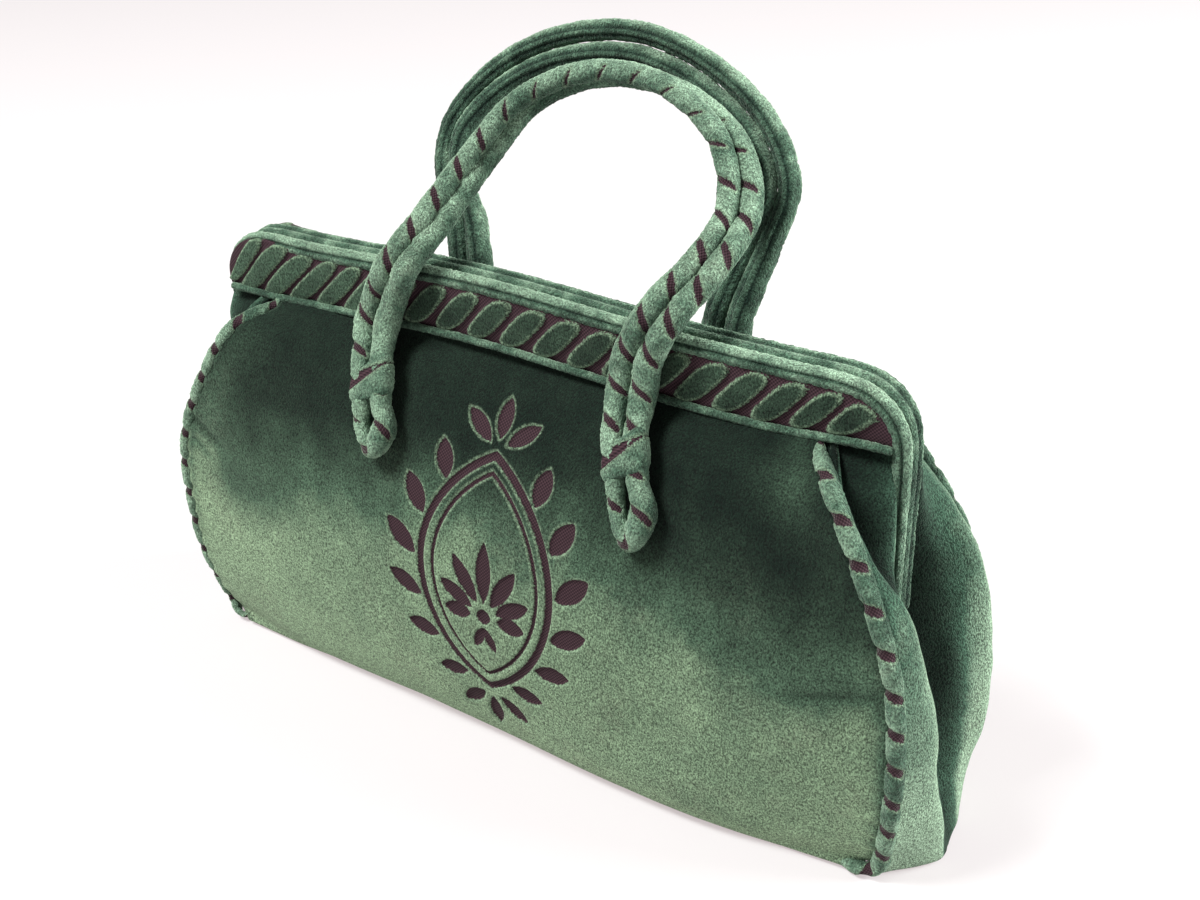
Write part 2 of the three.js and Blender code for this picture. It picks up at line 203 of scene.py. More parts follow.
FRONT_STRAND = (
    Stop(-55, -35.3, 126.5, (10.4, 0, 0)),
    Stop(-56, -31.9, 135.5, (8.4, 0, 0)),
    Stop(-59, -26.7, 145.5, (8.4, 0, 0)),
    Stop(-62.5, -18, 156.5, (8.9, 0, 0)),
    Stop(-60, -14.3, 167, (8.8, 0, 0)),
    Stop(-52, -14.8, 181, (8, 1, 0)),
    Stop(-42.8, -5, 196, (5.8, 5, -1)),
    Stop(-34, 13, 214, (4.5, 6.1, -1)),
    Stop(-20, 25, 232.5, (2, 7.0, -2.5)),
    Stop(5, 32, 244, (0, 7.0, -3.8)),
    Stop(34, 31.5, 243.5, (1, 7.0, -3.5)),
    Stop(57.5, 25.5, 230.5, (4, 5.8, -2)),
    Stop(66.5, 14.5, 212.5, (6.5, 3.8, 0)),
    Stop(64, -1, 201, (7.3, 1.5, -1)),
    Stop(54, -11.5, 187, (7.7, 0.5, -2)),
    Stop(45.7, -14.4, 170, (8.7, 0, 0)),
    Stop(44.5, -18, 156.5, (8.9, 0, 0)),
    Stop(47, -26.9, 145, (8.4, 0, 0)),
    Stop(51, -32.1, 135, (8.4, 0, 0)),
    Stop(53.5, -35.9, 124.5, (10, 0, 0)),
)
BACK_STRAND = (
    Stop(-52, 35.6, 126, (10, 0, 0)),
    Stop(-51, 31.5, 136, (8.4, 0, 0)),
    Stop(-50, 26.5, 146, (8.4, 0, 0)),
    Stop(-48.5, 22, 158, (8.9, 0, 0)),
    Stop(-48, 21.5, 172, (8.5, 0, 0)),
    Stop(-52, 26.5, 186, (7.8, 0, -1.5)),
    Stop(-60.5, 32.5, 199, (7.4, -1, -1)),
    Stop(-62, 39, 211, (7.4, -2, 0)),
    Stop(-57, 44, 222, (6.8, -2.4, -2.5)),
    Stop(-43, 51, 236, (4.7, -2.8, -5.3)),
    Stop(-20, 56, 247, (2, -3, -6.8)),
    Stop(10, 57.5, 251, (-0.5, -3, -7)),
    Stop(40, 54.5, 244, (-3, -2.8, -6.3)),
    Stop(65, 47, 230, (-5.5, -2.5, -4.4)),
    Stop(76, 40, 213, (-7.4, -2, -0.6)),
    Stop(74, 33, 198, (-7.5, -1, 1)),
    Stop(71, 27, 185, (-7.8, 0, 1)),
    Stop(68, 22, 172, (-8.5, 0, 0)),
    Stop(66.5, 22, 158, (-8.9, 0, 0)),
    Stop(66, 26.5, 146, (-8.4, 0, 0)),
    Stop(66, 31.5, 136, (-8.4, 0, 0)),
    Stop(66.5, 35.4, 126, (-10, 0, 0)),
)
STRAND_HEIGHTS = (114, 126, 132.5, 139, 148.5, 158, 180, 200, 228, 256)
STRAND_RADII = (4.2, 4.3, 3.7, 4.0, 4.0, 4.8, 4.6, 4.1, 3.7, 3.7)


def spline(points: Array, where: Array, closed: bool = False) -> Array:
    """Follows a centripetal curve through points.

    Args:
        points: stops along the first axis, coordinates along the last one.
        where: places on the curve from 0 to 1.
        closed: whether the curve runs back to its first stop.

    Returns:
        One point for each place, with the stops' other axes kept.
    """
    points = np.asarray(points, float)
    if closed:
        stops = np.concatenate([points[-1:], points, points[:2]])
    else:
        stops = np.concatenate([2 * points[:1] - points[1:2], points, 2 * points[-1:] - points[-2:-1]])
    spans = len(stops) - 3
    place = np.clip(where, 0, 1) * spans
    start = np.minimum(place.astype(int), spans - 1)
    part = (place - start).reshape((-1,) + (1,) * (points.ndim - 1))
    a, b, c, d = (stops[start + k] for k in range(4))

    def knot(p: Array, q: Array) -> Array:
        """The knot step between two stops."""
        return np.sqrt(np.maximum(np.linalg.norm(q - p, axis=-1, keepdims=True), 1e-9))

    before, span, after = knot(a, b), knot(b, c), knot(c, d)
    leave = span * ((b - a) / before - (c - a) / (before + span) + (c - b) / span)
    arrive = span * ((c - b) / span - (d - b) / (span + after) + (d - c) / after)
    cubic = 2 * (b - c) + leave + arrive
    square = 3 * (c - b) - 2 * leave - arrive
    return b + part * (leave + part * (square + part * cubic))


def run_along(path: Array) -> Array:
    """Gives the distance from a path's start to each of its points.

    Args:
        path: points along the path, in metres.

    Returns:
        One distance for each point, from zero.
    """
    steps = np.linalg.norm(np.diff(path, axis=0), axis=1)
    return np.concatenate([[0], np.cumsum(steps)])


def even_route(points: Array, step: float, closed: bool = False) -> Array:
    """Resamples a curve through points at even distances.

    Args:
        points: stops of the curve.
        step: distance between two samples, in metres.
        closed: whether the curve runs back to its first stop.

    Returns:
        Points along the curve; a closed one ends on its first point.
    """
    fine = spline(points, np.linspace(0, 1, ROUTE_STEPS * len(points)), closed)
    run = run_along(fine)
    places = np.linspace(0, run[-1], max(2, round(run[-1] / step)) + 1)
    return np.stack([np.interp(places, run, fine[:, k]) for k in range(3)], axis=1)


def smooth_step(low: float, high: float, value: Array) -> Array:
    """Eases from 0 at low to 1 at high."""
    t = np.clip((value - low) / (high - low), 0, 1)
    return t * t * (3 - 2 * t)


def bell(value: Array, width: float) -> Array:
    """Gives a soft peak: 1 where a value is 0, falling away over a width."""
    return np.exp(-((value / width) ** 2))


def layered(*values: Array) -> Array:
    """Spreads values over one shape and stacks them along a new last axis."""
    return np.stack(np.broadcast_arrays(*values), axis=-1)


def tufts(points: Array, size: float) -> Array:
    """Gives solid noise from about -1 to 1 at each point.

    Args:
        points: places with coordinates along the last axis.
        size: distance over which the noise changes, in metres.

    Returns:
        One value for each point.
    """
    flat = (points.reshape(-1, 3) / size).tolist()
    values = np.fromiter((noise.noise(place) for place in flat), float, len(flat))
    return values.reshape(points.shape[:-1])


def fleece(points: Array) -> Array:
    """Gives the small unevenness of a velvet wall at each point, in metres."""
    return FLEECE_HEIGHT * tufts(points, FLEECE_SIZE)


def all_pile(shape: tuple[int, ...]) -> Array:
    """Gives the depth into bare ground on cloth that has none."""
    return np.full(shape, -VOID_REACH)


def unit(vectors: Array) -> Array:
    """Scales vectors to length one."""
    return vectors / np.maximum(np.linalg.norm(vectors, axis=-1, keepdims=True), 1e-12)


def square_to(vectors: Array, axes: Array) -> Array:
    """Turns vectors square to axes of length one, and scales them to length one."""
    return unit(vectors - axes * np.sum(vectors * axes, axis=-1, keepdims=True))


def leaf_depth(x: Array, y: Array, root: Span, turn: float, length: float, width: float) -> Array:
    """Measures how deep places lie inside a pointed leaf.

    Args:
        x: places across.
        y: places along.
        root: the leaf's lower tip.
        turn: the leaf's lean from +y towards +x, in radians.
        length: tip to tip.
        width: at the leaf's middle.

    Returns:
        Distance from the leaf's edge, above zero inside it.
    """
    half, wide = length / 2, width / 2
    radius = (half * half + wide * wide) / (2 * wide)
    dx, dy = x - root[0], y - root[1]
    along = dx * math.sin(turn) + dy * math.cos(turn) - half
    across = np.abs(dx * math.cos(turn) - dy * math.sin(turn))
    return radius - np.hypot(across + radius - wide, along)


@dataclass
class ClothGrid:
    """A grid of points over one cloth surface, with what the velvet reads at each point.

    Attributes:
        points: places by row and column, in metres.
        uv: distances across and along the cloth by row and column, in metres.
        void: depth into the bare woven ground, in metres, below zero on the pile.
        nap: how far the pile is brushed to its light side, with painted light and shade in it, from 0 to 1.
    """

    points: Array
    uv: Array
    void: Array
    nap: Array

    def raise_face(self, way: Array, height: Array) -> None:
        """Moves the surface out along its normals.

        Args:
            way: the direction that the surface faces on the whole.
            height: how far each place moves, in metres.
        """
        outward = unit(np.cross(np.gradient(self.points, axis=1), np.gradient(self.points, axis=0)))
        outward *= np.sign(np.sum(outward @ way))
        self.points = self.points + outward * height[..., None]

    def _mesh(self, name: str) -> bpy.types.Mesh:
        """Makes the grid a mesh with its UV map and its attributes.

        Args:
            name: the mesh's name.

        Returns:
            The new mesh, whose seams aren't merged yet.
        """
        rows, columns = self.points.shape[:2]
        shape = bmesh.new()
        bmesh.ops.create_grid(shape, x_segments=columns - 1, y_segments=rows - 1, size=0.5)
        mesh = bpy.data.meshes.new(name)
        shape.to_mesh(mesh)
        shape.free()
        mesh.vertices.foreach_set("co", self.points.reshape(-1).astype(np.float32))
        corners = np.empty(len(mesh.loops), int)
        mesh.loops.foreach_get("vertex_index", corners)
        uv = mesh.uv_layers.get(UV_MAP) or mesh.uv_layers.new(name=UV_MAP)
        uv.data.foreach_set("uv", self.uv.reshape(-1, 2)[corners].reshape(-1).astype(np.float32))
        depth = 0.5 + self.void / (2 * VOID_REACH)
        for key, values in ((VOID, depth), (NAP, self.nap)):
            layer = mesh.attributes.new(key, "FLOAT", "POINT")
            layer.data.foreach_set("value", np.clip(values, 0, 1).reshape(-1).astype(np.float32))
        return mesh

    def build(self, name: str, outward: Array | None = None) -> Piece:
        """Makes the grid a mesh object at the origin, with its seams merged and its faces outwards.

        Args:
            name: the piece's name.
            outward: a direction that an open sheet faces; none for a closed tube.

        Returns:
            The new object, linked to the scene.
        """
        mesh = self._mesh(name)
        shape = bmesh.new()
        shape.from_mesh(mesh)
        bmesh.ops.remove_doubles(shape, verts=shape.verts[:], dist=MERGE_GAP)
        faces = shape.faces[:]
        if outward is None:
            bmesh.ops.recalc_face_normals(shape, faces=faces)
        elif sum((face.normal * face.calc_area() for face in faces), Vector()).dot(Vector(outward)) < 0:
            bmesh.ops.reverse_faces(shape, faces=faces)
        for face in faces:
            face.smooth = True
        shape.to_mesh(mesh)
        shape.free()
        piece = bpy.data.objects.new(name, mesh)
        bpy.context.scene.collection.objects.link(piece)
        return piece


def add_wall(piece: Piece, thickness: float) -> None:
    """Gives a sheet its thickness, inwards from its outer face.

    Args:
        piece: the sheet.
        thickness: in metres.
    """
    wall = piece.modifiers.new("wall", "SOLIDIFY")
    wall.thickness = thickness
    wall.offset = -1
    wall.use_even_offset = False


class NodeBench:
    """Places nodes in one shader tree and joins them."""

    def __init__(self, tree: bpy.types.NodeTree) -> None:
        """Takes the tree and clears it."""
        self.tree = tree
        tree.nodes.clear()

    def feed(self, socket: Socket, value: object) -> None:
        """Joins an output to a socket, or sets the socket's own value.

        Args:
            socket: the socket to feed.
            value: an output socket, or a plain value.
        """
        if isinstance(value, Socket):
            self.tree.links.new(value, socket)
        else:
            socket.default_value = value

    def add(self, kind: str, inputs: dict | None = None, **settings: object) -> bpy.types.Node:
        """Adds one node.

        Args:
            kind: the node's type name.
            inputs: socket name or number, with a value or the output socket that feeds it.
            settings: the node's own properties.

        Returns:
            The new node.
        """
        node = self.tree.nodes.new(kind)
        for key, value in settings.items():
            setattr(node, key, value)
        for key, value in (inputs or {}).items():
            self.feed(node.inputs[key], value)
        return node

    def math(self, operation: str, *values: object, clamp: bool = False) -> Socket:
        """Adds a Math node on the values and returns its output."""
        inputs = dict(enumerate(values))
        return self.add("ShaderNodeMath", inputs, operation=operation, use_clamp=clamp).outputs[0]

    def times(self, first: object, second: object) -> Socket:
        """Multiplies two values."""
        return self.math("MULTIPLY", first, second)

    def rest(self, share: object) -> Socket:
        """Gives what a share leaves of one."""
        return self.math("SUBTRACT", 1.0, share)

    def ease(self, value: Socket, low: float, high: float) -> Socket:
        """Eases a value from 0 at low to 1 at high."""
        inputs = {"Value": value, "From Min": low, "From Max": high}
        return self.add("ShaderNodeMapRange", inputs, interpolation_type="SMOOTHSTEP").outputs["Result"]

    def between(self, value: Socket, low: float, high: float) -> Socket:
        """Spreads a value from 0 to 1 over the range from low to high."""
        inputs = {"Value": value, "To Min": low, "To Max": high}
        return self.add("ShaderNodeMapRange", inputs).outputs["Result"]

    def mix(self, share: object, first: object, second: object) -> Socket:
        """Mixes two colours.

        Args:
            share: how much of the second colour there is.
            first: a colour, or the output that gives it.
            second: a colour, or the output that gives it.

        Returns:
            The mixed colour.
        """
        node = self.add("ShaderNodeMix", {"Factor": share}, data_type="RGBA")
        colours = [socket for socket in node.inputs if socket.type == "RGBA"]
        for socket, value in zip(colours, (first, second)):
            self.feed(socket, value if isinstance(value, Socket) else (*value, 1))
        return [socket for socket in node.outputs if socket.type == "RGBA"][0]

    def noise(self, vector: Socket, size: float) -> Socket:
        """Adds noise that changes over size, in metres, and returns its value."""
        inputs = {"Vector": vector, "Scale": 1 / size, "Detail": 2, "Roughness": 0.6}
        return self.add("ShaderNodeTexNoise", inputs).outputs["Fac"]


class EffectBench(NodeBench):
    """A bench on a new shader node group, with its inputs and its Object coordinates at hand."""

    def __init__(self, name: str, inputs: dict[str, float], outputs: tuple[str, ...]) -> None:
        """Starts the group.

        Args:
            name: the group's name.
            inputs: each input's name and usual value.
            outputs: the outputs' names.
        """
        super().__init__(bpy.data.node_groups.new(name, "ShaderNodeTree"))
        for key, value in inputs.items():
            socket = self.tree.interface.new_socket(key, in_out="INPUT", socket_type="NodeSocketFloat")
            socket.default_value = value
        for key in outputs:
            self.tree.interface.new_socket(key, in_out="OUTPUT", socket_type="NodeSocketFloat")
        self.given = self.add("NodeGroupInput").outputs
        self.place = self.add("ShaderNodeTexCoord").outputs["Object"]

    def finish(self, values: dict[str, Socket]) -> bpy.types.NodeTree:
        """Sends values to the group's outputs and returns the group's tree."""
        self.add("NodeGroupOutput", values)
        return self.tree


@dataclass
class SharedEffects:
    """The shader node groups that every velvet finish uses: pile grain, nap shade and bare ground.

    Attributes:
        lie: how the pile's grain is drawn out along each axis.
        hand_marks: sizes of the hand marks in the nap, in metres, and how strong each is.
        worn_patch: size of a rubbed patch, in metres, and the noise between which it shows.
        worn_fleck: the same for the flecks inside it.
        rim_patch: the same for the painted highlight round a bare shape.
    """

    lie: Point = (1, 1, 0.7)
    tuft_share: float = 0.3
    tuft_range: Span = (0.15, 0.8)
    clump_range: Span = (0.32, 0.68)
    hand_marks: tuple[Span, ...] = ((45 * MM, 1.3), (13 * MM, 0.9), (4 * MM, 0.5))
    swing: float = 3.4
    least_swing: float = 0.15
    worn_patch: Point = (30 * MM, 0.48, 0.72)
    worn_fleck: Point = (2.5 * MM, 0.3, 0.7)
    fringe: float = 0.8 * MM
    ground_range: Span = (0.47, 0.53)
    rim_range: Span = (0.29, 0.47)
    rim_patch: Point = (1.6 * MM, 0.22, 0.5)
    thread: float = 1.3 * MM
    grain: bpy.types.NodeTree = field(init=False)
    shade: bpy.types.NodeTree = field(init=False)
    ground: bpy.types.NodeTree = field(init=False)

    def __post_init__(self) -> None:
        """Builds each group once."""
        self.grain = self._pile_grain()
        self.shade = self._nap_shade()
        self.ground = self._bare_ground()

    def _pile_grain(self) -> bpy.types.NodeTree:
        """Builds the fine grain of cut pile, from single tufts and clumps of them.

        Returns:
            The group, which takes Size and gives Grain.
        """
        bench = EffectBench("pile_grain", {"Size": 0.7 * MM}, ("Grain",))
        place = bench.add("ShaderNodeMapping", {"Vector": bench.place, "Scale": self.lie}).outputs[0]
        fine = {"Vector": place, "Scale": bench.math("DIVIDE", 1.0, bench.given["Size"])}
        clumps = bench.add("ShaderNodeTexNoise", {**fine, "Detail": 2, "Roughness": 0.65}).outputs["Fac"]
        cells = bench.add("ShaderNodeTexVoronoi", fine).outputs["Distance"]
        tuft = bench.times(bench.rest(bench.ease(cells, *self.tuft_range)), self.tuft_share)
        clump = bench.times(bench.ease(clumps, *self.clump_range), 1 - self.tuft_share)
        return bench.finish({"Grain": bench.math("ADD", tuft, clump)})

    def _nap_shade(self) -> bpy.types.NodeTree:
        """Builds the light and dark of brushed pile, which carries painted light and shade: the piece's own
        nap with soft hand marks over it.

        Returns:
            The group, which takes Nap and Drift and gives Light and Worn.
        """
        bench = EffectBench("nap_shade", {"Nap": 0.5, "Drift": 0.3}, ("Light", "Worn"))
        marks: object = 0.0
        for size, share in self.hand_marks:
            mark = bench.math("SUBTRACT", bench.noise(bench.place, size), 0.5)
            marks = bench.math("MULTIPLY_ADD", mark, share, marks)
        nap = bench.given["Nap"]
        swing = bench.math("MULTIPLY_ADD", bench.times(nap, bench.rest(nap)), self.swing, self.least_swing)
        drift = bench.times(bench.times(marks, swing), bench.given["Drift"])
        patch, fleck = (bench.ease(bench.noise(bench.place, size), low, high)
                        for size, low, high in (self.worn_patch, self.worn_fleck))
        light = bench.math("ADD", nap, drift, clamp=True)
        return bench.finish({"Light": light, "Worn": bench.times(patch, fleck)})

    def _bare_ground(self) -> bpy.types.NodeTree:
        """Builds the bare woven ground between the pile: where it lies, the painted highlight on the pile's
        rim and its weave.

        Returns:
            The group, which takes Void and Fuzz and gives Ground, Rim, a painted highlight, and Weave.
        """
        bench = EffectBench("bare_ground", {"Void": 0.0, "Fuzz": 0.08}, ("Ground", "Rim", "Weave"))
        loose = bench.math("SUBTRACT", bench.noise(bench.place, self.fringe), 0.5)
        void = bench.math("MULTIPLY_ADD", loose, bench.given["Fuzz"], bench.given["Void"])
        ground = bench.ease(void, *self.ground_range)
        size, low, high = self.rim_patch
        patch = bench.ease(bench.noise(bench.place, size), low, high)
        # Painted highlight on the rim of the pile round a bare shape, in patches.
        rim = bench.times(bench.times(bench.ease(void, *self.rim_range), bench.rest(ground)), patch)
        uv = bench.add("ShaderNodeUVMap", uv_map=UV_MAP).outputs[0]
        flat = bench.add("ShaderNodeSeparateXYZ", {0: uv}).outputs
        turns = 2 * math.pi / self.thread
        across, along = (bench.math("SINE", bench.times(flat[axis], turns)) for axis in ("X", "Y"))
        weave = bench.math("MULTIPLY_ADD", bench.times(across, along), 0.5, 0.5)
        return bench.finish({"Ground": ground, "Rim": rim, "Weave": weave})


@dataclass(frozen=True)
class VelvetFinish:
    """One velvet: its pile from dark to light, the painted highlight on the rim of its pile and its bare
    ground.

    Attributes:
        dark: pile brushed away from the light.
        middle: pile at half its nap.
        light: pile brushed towards the light.
        rim: the painted highlight on the tips of the pile along a bare shape.
        rim_share: how far the painted rim highlight covers the pile.
        ground: deep threads of the bare ground.
        thread: raised threads of the bare ground.
        grain: how strongly the pile's tips vary.
        drift: how strongly hand marks change the nap.
        relief: depth of the grain's relief, in metres.
        fuzz: how ragged the pile's edge is round a bare shape.
        edge_glow: painted sheen: how much lighter the pile's colour is painted where it is seen edge on.
        worn: pile that is rubbed thin.
        wear: how far rubbed patches show.
        edge_floor: the painted sheen of dark pile, as a share of that of light pile.
    """

    name: str
    slot: Slot
    dark: Colour = (0.005, 0.012, 0.008)
    middle: Colour = (0.062, 0.112, 0.070)
    light: Colour = (0.235, 0.335, 0.205)
    rim: Colour = (0.220, 0.320, 0.205)
    rim_share: float = 0.7
    ground: Colour = (0.010, 0.005, 0.007)
    thread: Colour = (0.068, 0.036, 0.044)
    grain: float = 0.75
    grain_size: float = 0.6 * MM
    drift: float = 0.4
    sheen: float = 0.1
    relief: float = 0.4 * MM
    fuzz: float = 0.16
    edge_glow: float = 0.5
    worn: Colour = (0.150, 0.140, 0.105)
    wear: float = 0.3
    edge_range: Span = (0.35, 0.95)
    edge_floor: float = 0.2
    weave_relief: float = 0.4
    bump: float = 0.9
    roughness: Span = (0.78, 0.96)
    specular: float = 0.15
    sheen_roughness: float = 0.28
    sheen_tint: Colour = (0.72, 0.86, 0.70)

    def _pile(self, bench: NodeBench, light: Socket, worn: Socket, rim: Socket) -> Socket:
        """Mixes the pile's colour, with a painted sheen where it is seen edge on and a painted highlight
        along its rim.

        Args:
            bench: a bench on the material's tree.
            light: how far the pile is brushed to its light side.
            worn: where it is rubbed.
            rim: where its painted rim highlight is.

        Returns:
            The colour of the pile without its grain.
        """
        # Painted sheen: the pile's colour is lightened where the surface is seen edge on.
        edge = bench.add("ShaderNodeLayerWeight", {"Blend": 0.5}).outputs["Facing"]
        glow = bench.times(bench.ease(edge, *self.edge_range), self.edge_glow)
        lit = bench.times(glow, bench.math("ADD", light, self.edge_floor))
        tone = bench.math("ADD", light, lit, clamp=True)
        low = bench.mix(bench.math("MULTIPLY", tone, 2.0, clamp=True), self.dark, self.middle)
        high = bench.mix(bench.math("MULTIPLY_ADD", tone, 2.0, -1.0, clamp=True), low, self.light)
        rubbed = bench.times(bench.times(worn, self.wear), light)
        pile = bench.mix(rubbed, high, self.worn)
        # Painted highlight along the pile's rim.
        return bench.mix(bench.times(rim, self.rim_share), pile, self.rim)

    def velvet(self, effects: SharedEffects) -> "Velvet":
        """Builds the finish's material.

        Args:
            effects: the shared node groups.

        Returns:
            The velvet that dresses pieces with it.
        """
        material = bpy.data.materials.new(self.name)
        material.use_nodes = True
        bench = NodeBench(material.node_tree)
        nap, void = (bench.add("ShaderNodeAttribute", attribute_name=key).outputs["Fac"]
                     for key in (NAP, VOID))
        grain, shade, cloth = (
            bench.add("ShaderNodeGroup", inputs, node_tree=tree).outputs for tree, inputs in (
                (effects.grain, {"Size": self.grain_size}),
                (effects.shade, {"Nap": nap, "Drift": self.drift}),
                (effects.ground, {"Void": void, "Fuzz": self.fuzz})))
        tips, bare, weave = grain["Grain"], cloth["Ground"], cloth["Weave"]
        pile = self._pile(bench, shade["Light"], shade["Worn"], cloth["Rim"])
        scale = bench.between(tips, 1 - self.grain, 1 + self.grain)
        pile = bench.add("ShaderNodeVectorMath", {0: pile, "Scale": scale}, operation="SCALE").outputs[0]
        pile_height = bench.times(tips, bench.rest(bare))
        height = bench.math("MULTIPLY_ADD", bench.times(weave, bare), self.weave_relief, pile_height)
        bump = bench.add("ShaderNodeBump", {"Height": height, "Distance": self.relief, "Strength": self.bump})
        shader = bench.add("ShaderNodeBsdfPrincipled", {
            "Base Color": bench.mix(bare, pile, bench.mix(weave, self.ground, self.thread)),
            "Roughness": bench.between(tips, *self.roughness),
            "Normal": bump.outputs["Normal"],
            "Specular IOR Level": self.specular,
            "Sheen Weight": self.sheen,
            "Sheen Roughness": self.sheen_roughness,
            "Sheen Tint": (*self.sheen_tint, 1),
        })
        bench.add("ShaderNodeOutputMaterial", {"Surface": shader.outputs[0]})
        return Velvet(self.slot, material)


@dataclass(frozen=True)
class Velvet:
    slot: Slot
    material: bpy.types.Material
    fill: float = 0.9

    def dress(self, piece: Piece, node: str) -> Piece:
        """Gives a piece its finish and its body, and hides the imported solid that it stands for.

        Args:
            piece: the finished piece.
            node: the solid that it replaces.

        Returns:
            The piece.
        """
        piece.data.materials.append(self.material)
        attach(piece, BODY)
        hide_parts(node)
        LOG.info("%s: %d points", piece.name, len(piece.data.vertices))
        return piece

    def sheet(self, cloth: ClothGrid, node: str, outward: Array, wall: float) -> Piece:
        """Args:
            cloth: the sheet's outer face.
            node: the solid that it replaces.
            outward: the way that it faces.
            wall: its thickness, in metres.

        Returns:
            The sheet.
        """
        piece = cloth.build(f"{node}_velvet", outward)
        add_wall(piece, wall)
        self.dress(piece, node)
        return piece

    def padded(self, cloth: ClothGrid, node: str) -> Piece:
        """Args:
            cloth: its skin.
            node: the solid that it replaces.

        Returns:
            The padded piece.
        """
        piece = self.dress(cloth.build(f"{node}_velvet"), node)
        return piece


@dataclass(frozen=True)
class PanelMotif:
    """A leafy pointed oval that is voided into a panel's pile, in metres and degrees from its middle.

    The oval has a thin echo inside its line, a fan of leaves that grows from a dot, a tail of two leaves
    below the dot, sprays of leaves up both sides and finials at both tips.

    Attributes:
        fan_shrink: how much shorter a leaf is for each degree that it leans.
        tail: the tail's drop below the dot, and its leaves' length and width.
        spray_start: how far up the first leaf sits, in leaves.
    """

    half_height: float = 47 * MM
    half_width: float = 28 * MM
    outline: float = 3.0 * MM
    echo_inset: float = 5.4 * MM
    echo: float = 1.5 * MM
    fan_root: float = -15 * MM
    fan_start: float = 5.5 * MM
    fan_length: float = 25 * MM
    fan_width: float = 6.6 * MM
    fan_turns: tuple[float, ...] = (0.0, 31.0, 62.0, 93.0)
    fan_shrink: float = 0.0055
    dot: float = 3.0 * MM
    tail: Point = (4.5 * MM, 11 * MM, 4.2 * MM)
    tail_turn: float = 155.0
    spray_length: float = 17.5 * MM
    spray_width: float = 8.4 * MM
    spray_count: int = 6
    spray_turn: float = 50.0
    spray_gap: float = 2.6 * MM
    spray_start: float = 0.6
    spray_taper: float = 0.25
    finial_length: float = 15 * MM
    finial_slim: float = 0.4
    finial_start: float = 4.5 * MM
    finial_gap: float = 1.5 * MM
    finial_turns: tuple[float, ...] = (0.0, 50.0)

    def depth(self, x: Array, y: Array) -> Array:
        """Measures how deep places lie inside the motif's bare shapes.

        Args:
            x: places across, from the motif's middle.
            y: places up, from the motif's middle.

        Returns:
            Distance from the nearest shape's edge, above zero inside it.
        """
        side = np.abs(x)
        oval = leaf_depth(x, y, (0, -self.half_height), 0, 2 * self.half_height, 2 * self.half_width)
        shapes = [self.outline / 2 - np.abs(oval), self.echo / 2 - np.abs(oval - self.echo_inset)]
        shapes += self._fan(side, y) + self._sprays(side, y)
        tip = self.half_height + self.finial_gap
        for turn in self.finial_turns:
            lean = math.radians(turn)
            root = (self.finial_start * math.sin(lean), tip + self.finial_start * math.cos(lean))
            width = self.finial_slim * self.finial_length
            shapes += [leaf_depth(side, end, root, lean, self.finial_length, width) for end in (y, -y)]
        return np.max(shapes, axis=0)

    def _fan(self, side: Array, y: Array) -> list[Array]:
        """Measures the fan of leaves inside the oval, the dot that it grows from and the leaves below it.

        Args:
            side: places across, without their sign.
            y: places up.

        Returns:
            One depth for each shape.
        """
        drop, length, width = self.tail
        tail = leaf_depth(side, y, (0, self.fan_root - drop), math.radians(self.tail_turn), length, width)
        shapes = [self.dot - np.hypot(side, y - self.fan_root), tail]
        for turn in self.fan_turns:
            lean = math.radians(turn)
            root = (self.fan_start * math.sin(lean), self.fan_root + self.fan_start * math.cos(lean))
            length = self.fan_length * (1 - self.fan_shrink * turn)
            shapes.append(leaf_depth(side, y, root, lean, length, self.fan_width))
        return shapes

    def _sprays(self, side: Array, y: Array) -> list[Array]:
        """Measures the row of leaves that grows up each side of the oval.

        Args:
            side: places across, without their sign.
            y: places up.

        Returns:
            One depth for each leaf.
        """
        wide, high = self.half_width, self.half_height
        radius = (high * high + wide * wide) / (2 * wide)
        reach = math.asin(high / radius)
        out = radius + self.spray_gap
        leaves = []
        for k in range(self.spray_count):
            angle = reach * (2 * (k + self.spray_start) / (self.spray_count + 1) - 1)
            root = (out * math.cos(angle) - (radius - wide), out * math.sin(angle))
            turn = math.radians(self.spray_turn) - angle
            size = 1 - self.spray_taper * abs(angle) / reach
            leaves.append(leaf_depth(side, y, root, turn, self.spray_length * size, self.spray_width * size))
        return leaves


@dataclass(frozen=True)
class MouthLine:
    """The frame's mouth, which arches up a little between the handles, in metres."""

    rise: float = 3 * MM
    centre: float = -22 * MM
    reach: float = 92 * MM

    def lift(self, x: Array) -> Array:
        """How far the mouth is raised at each x."""
        away = np.minimum(np.abs(x - self.centre) / self.reach, 1)
        return self.rise / 2 * (1 + np.cos(np.pi * away))


MOUTH = MouthLine()


def seam_stops(facing: Facing) -> Array:
    """Gives the right half of a panel's seam, from the mouth down the side and in along the hem.

    Args:
        facing: the panel's half of the bag.

    Returns:
        The stops in metres.
    """
    down = [(row.seam_x, facing.value * row.seam_depth, row.seam_height) for row in PANEL_ROWS]
    under = [(x, facing.value * BASE_RUN_DEPTH, BASE_RUN_HEIGHT) for x in BASE_RUN_ENDS]
    return np.array(down + under) * MM


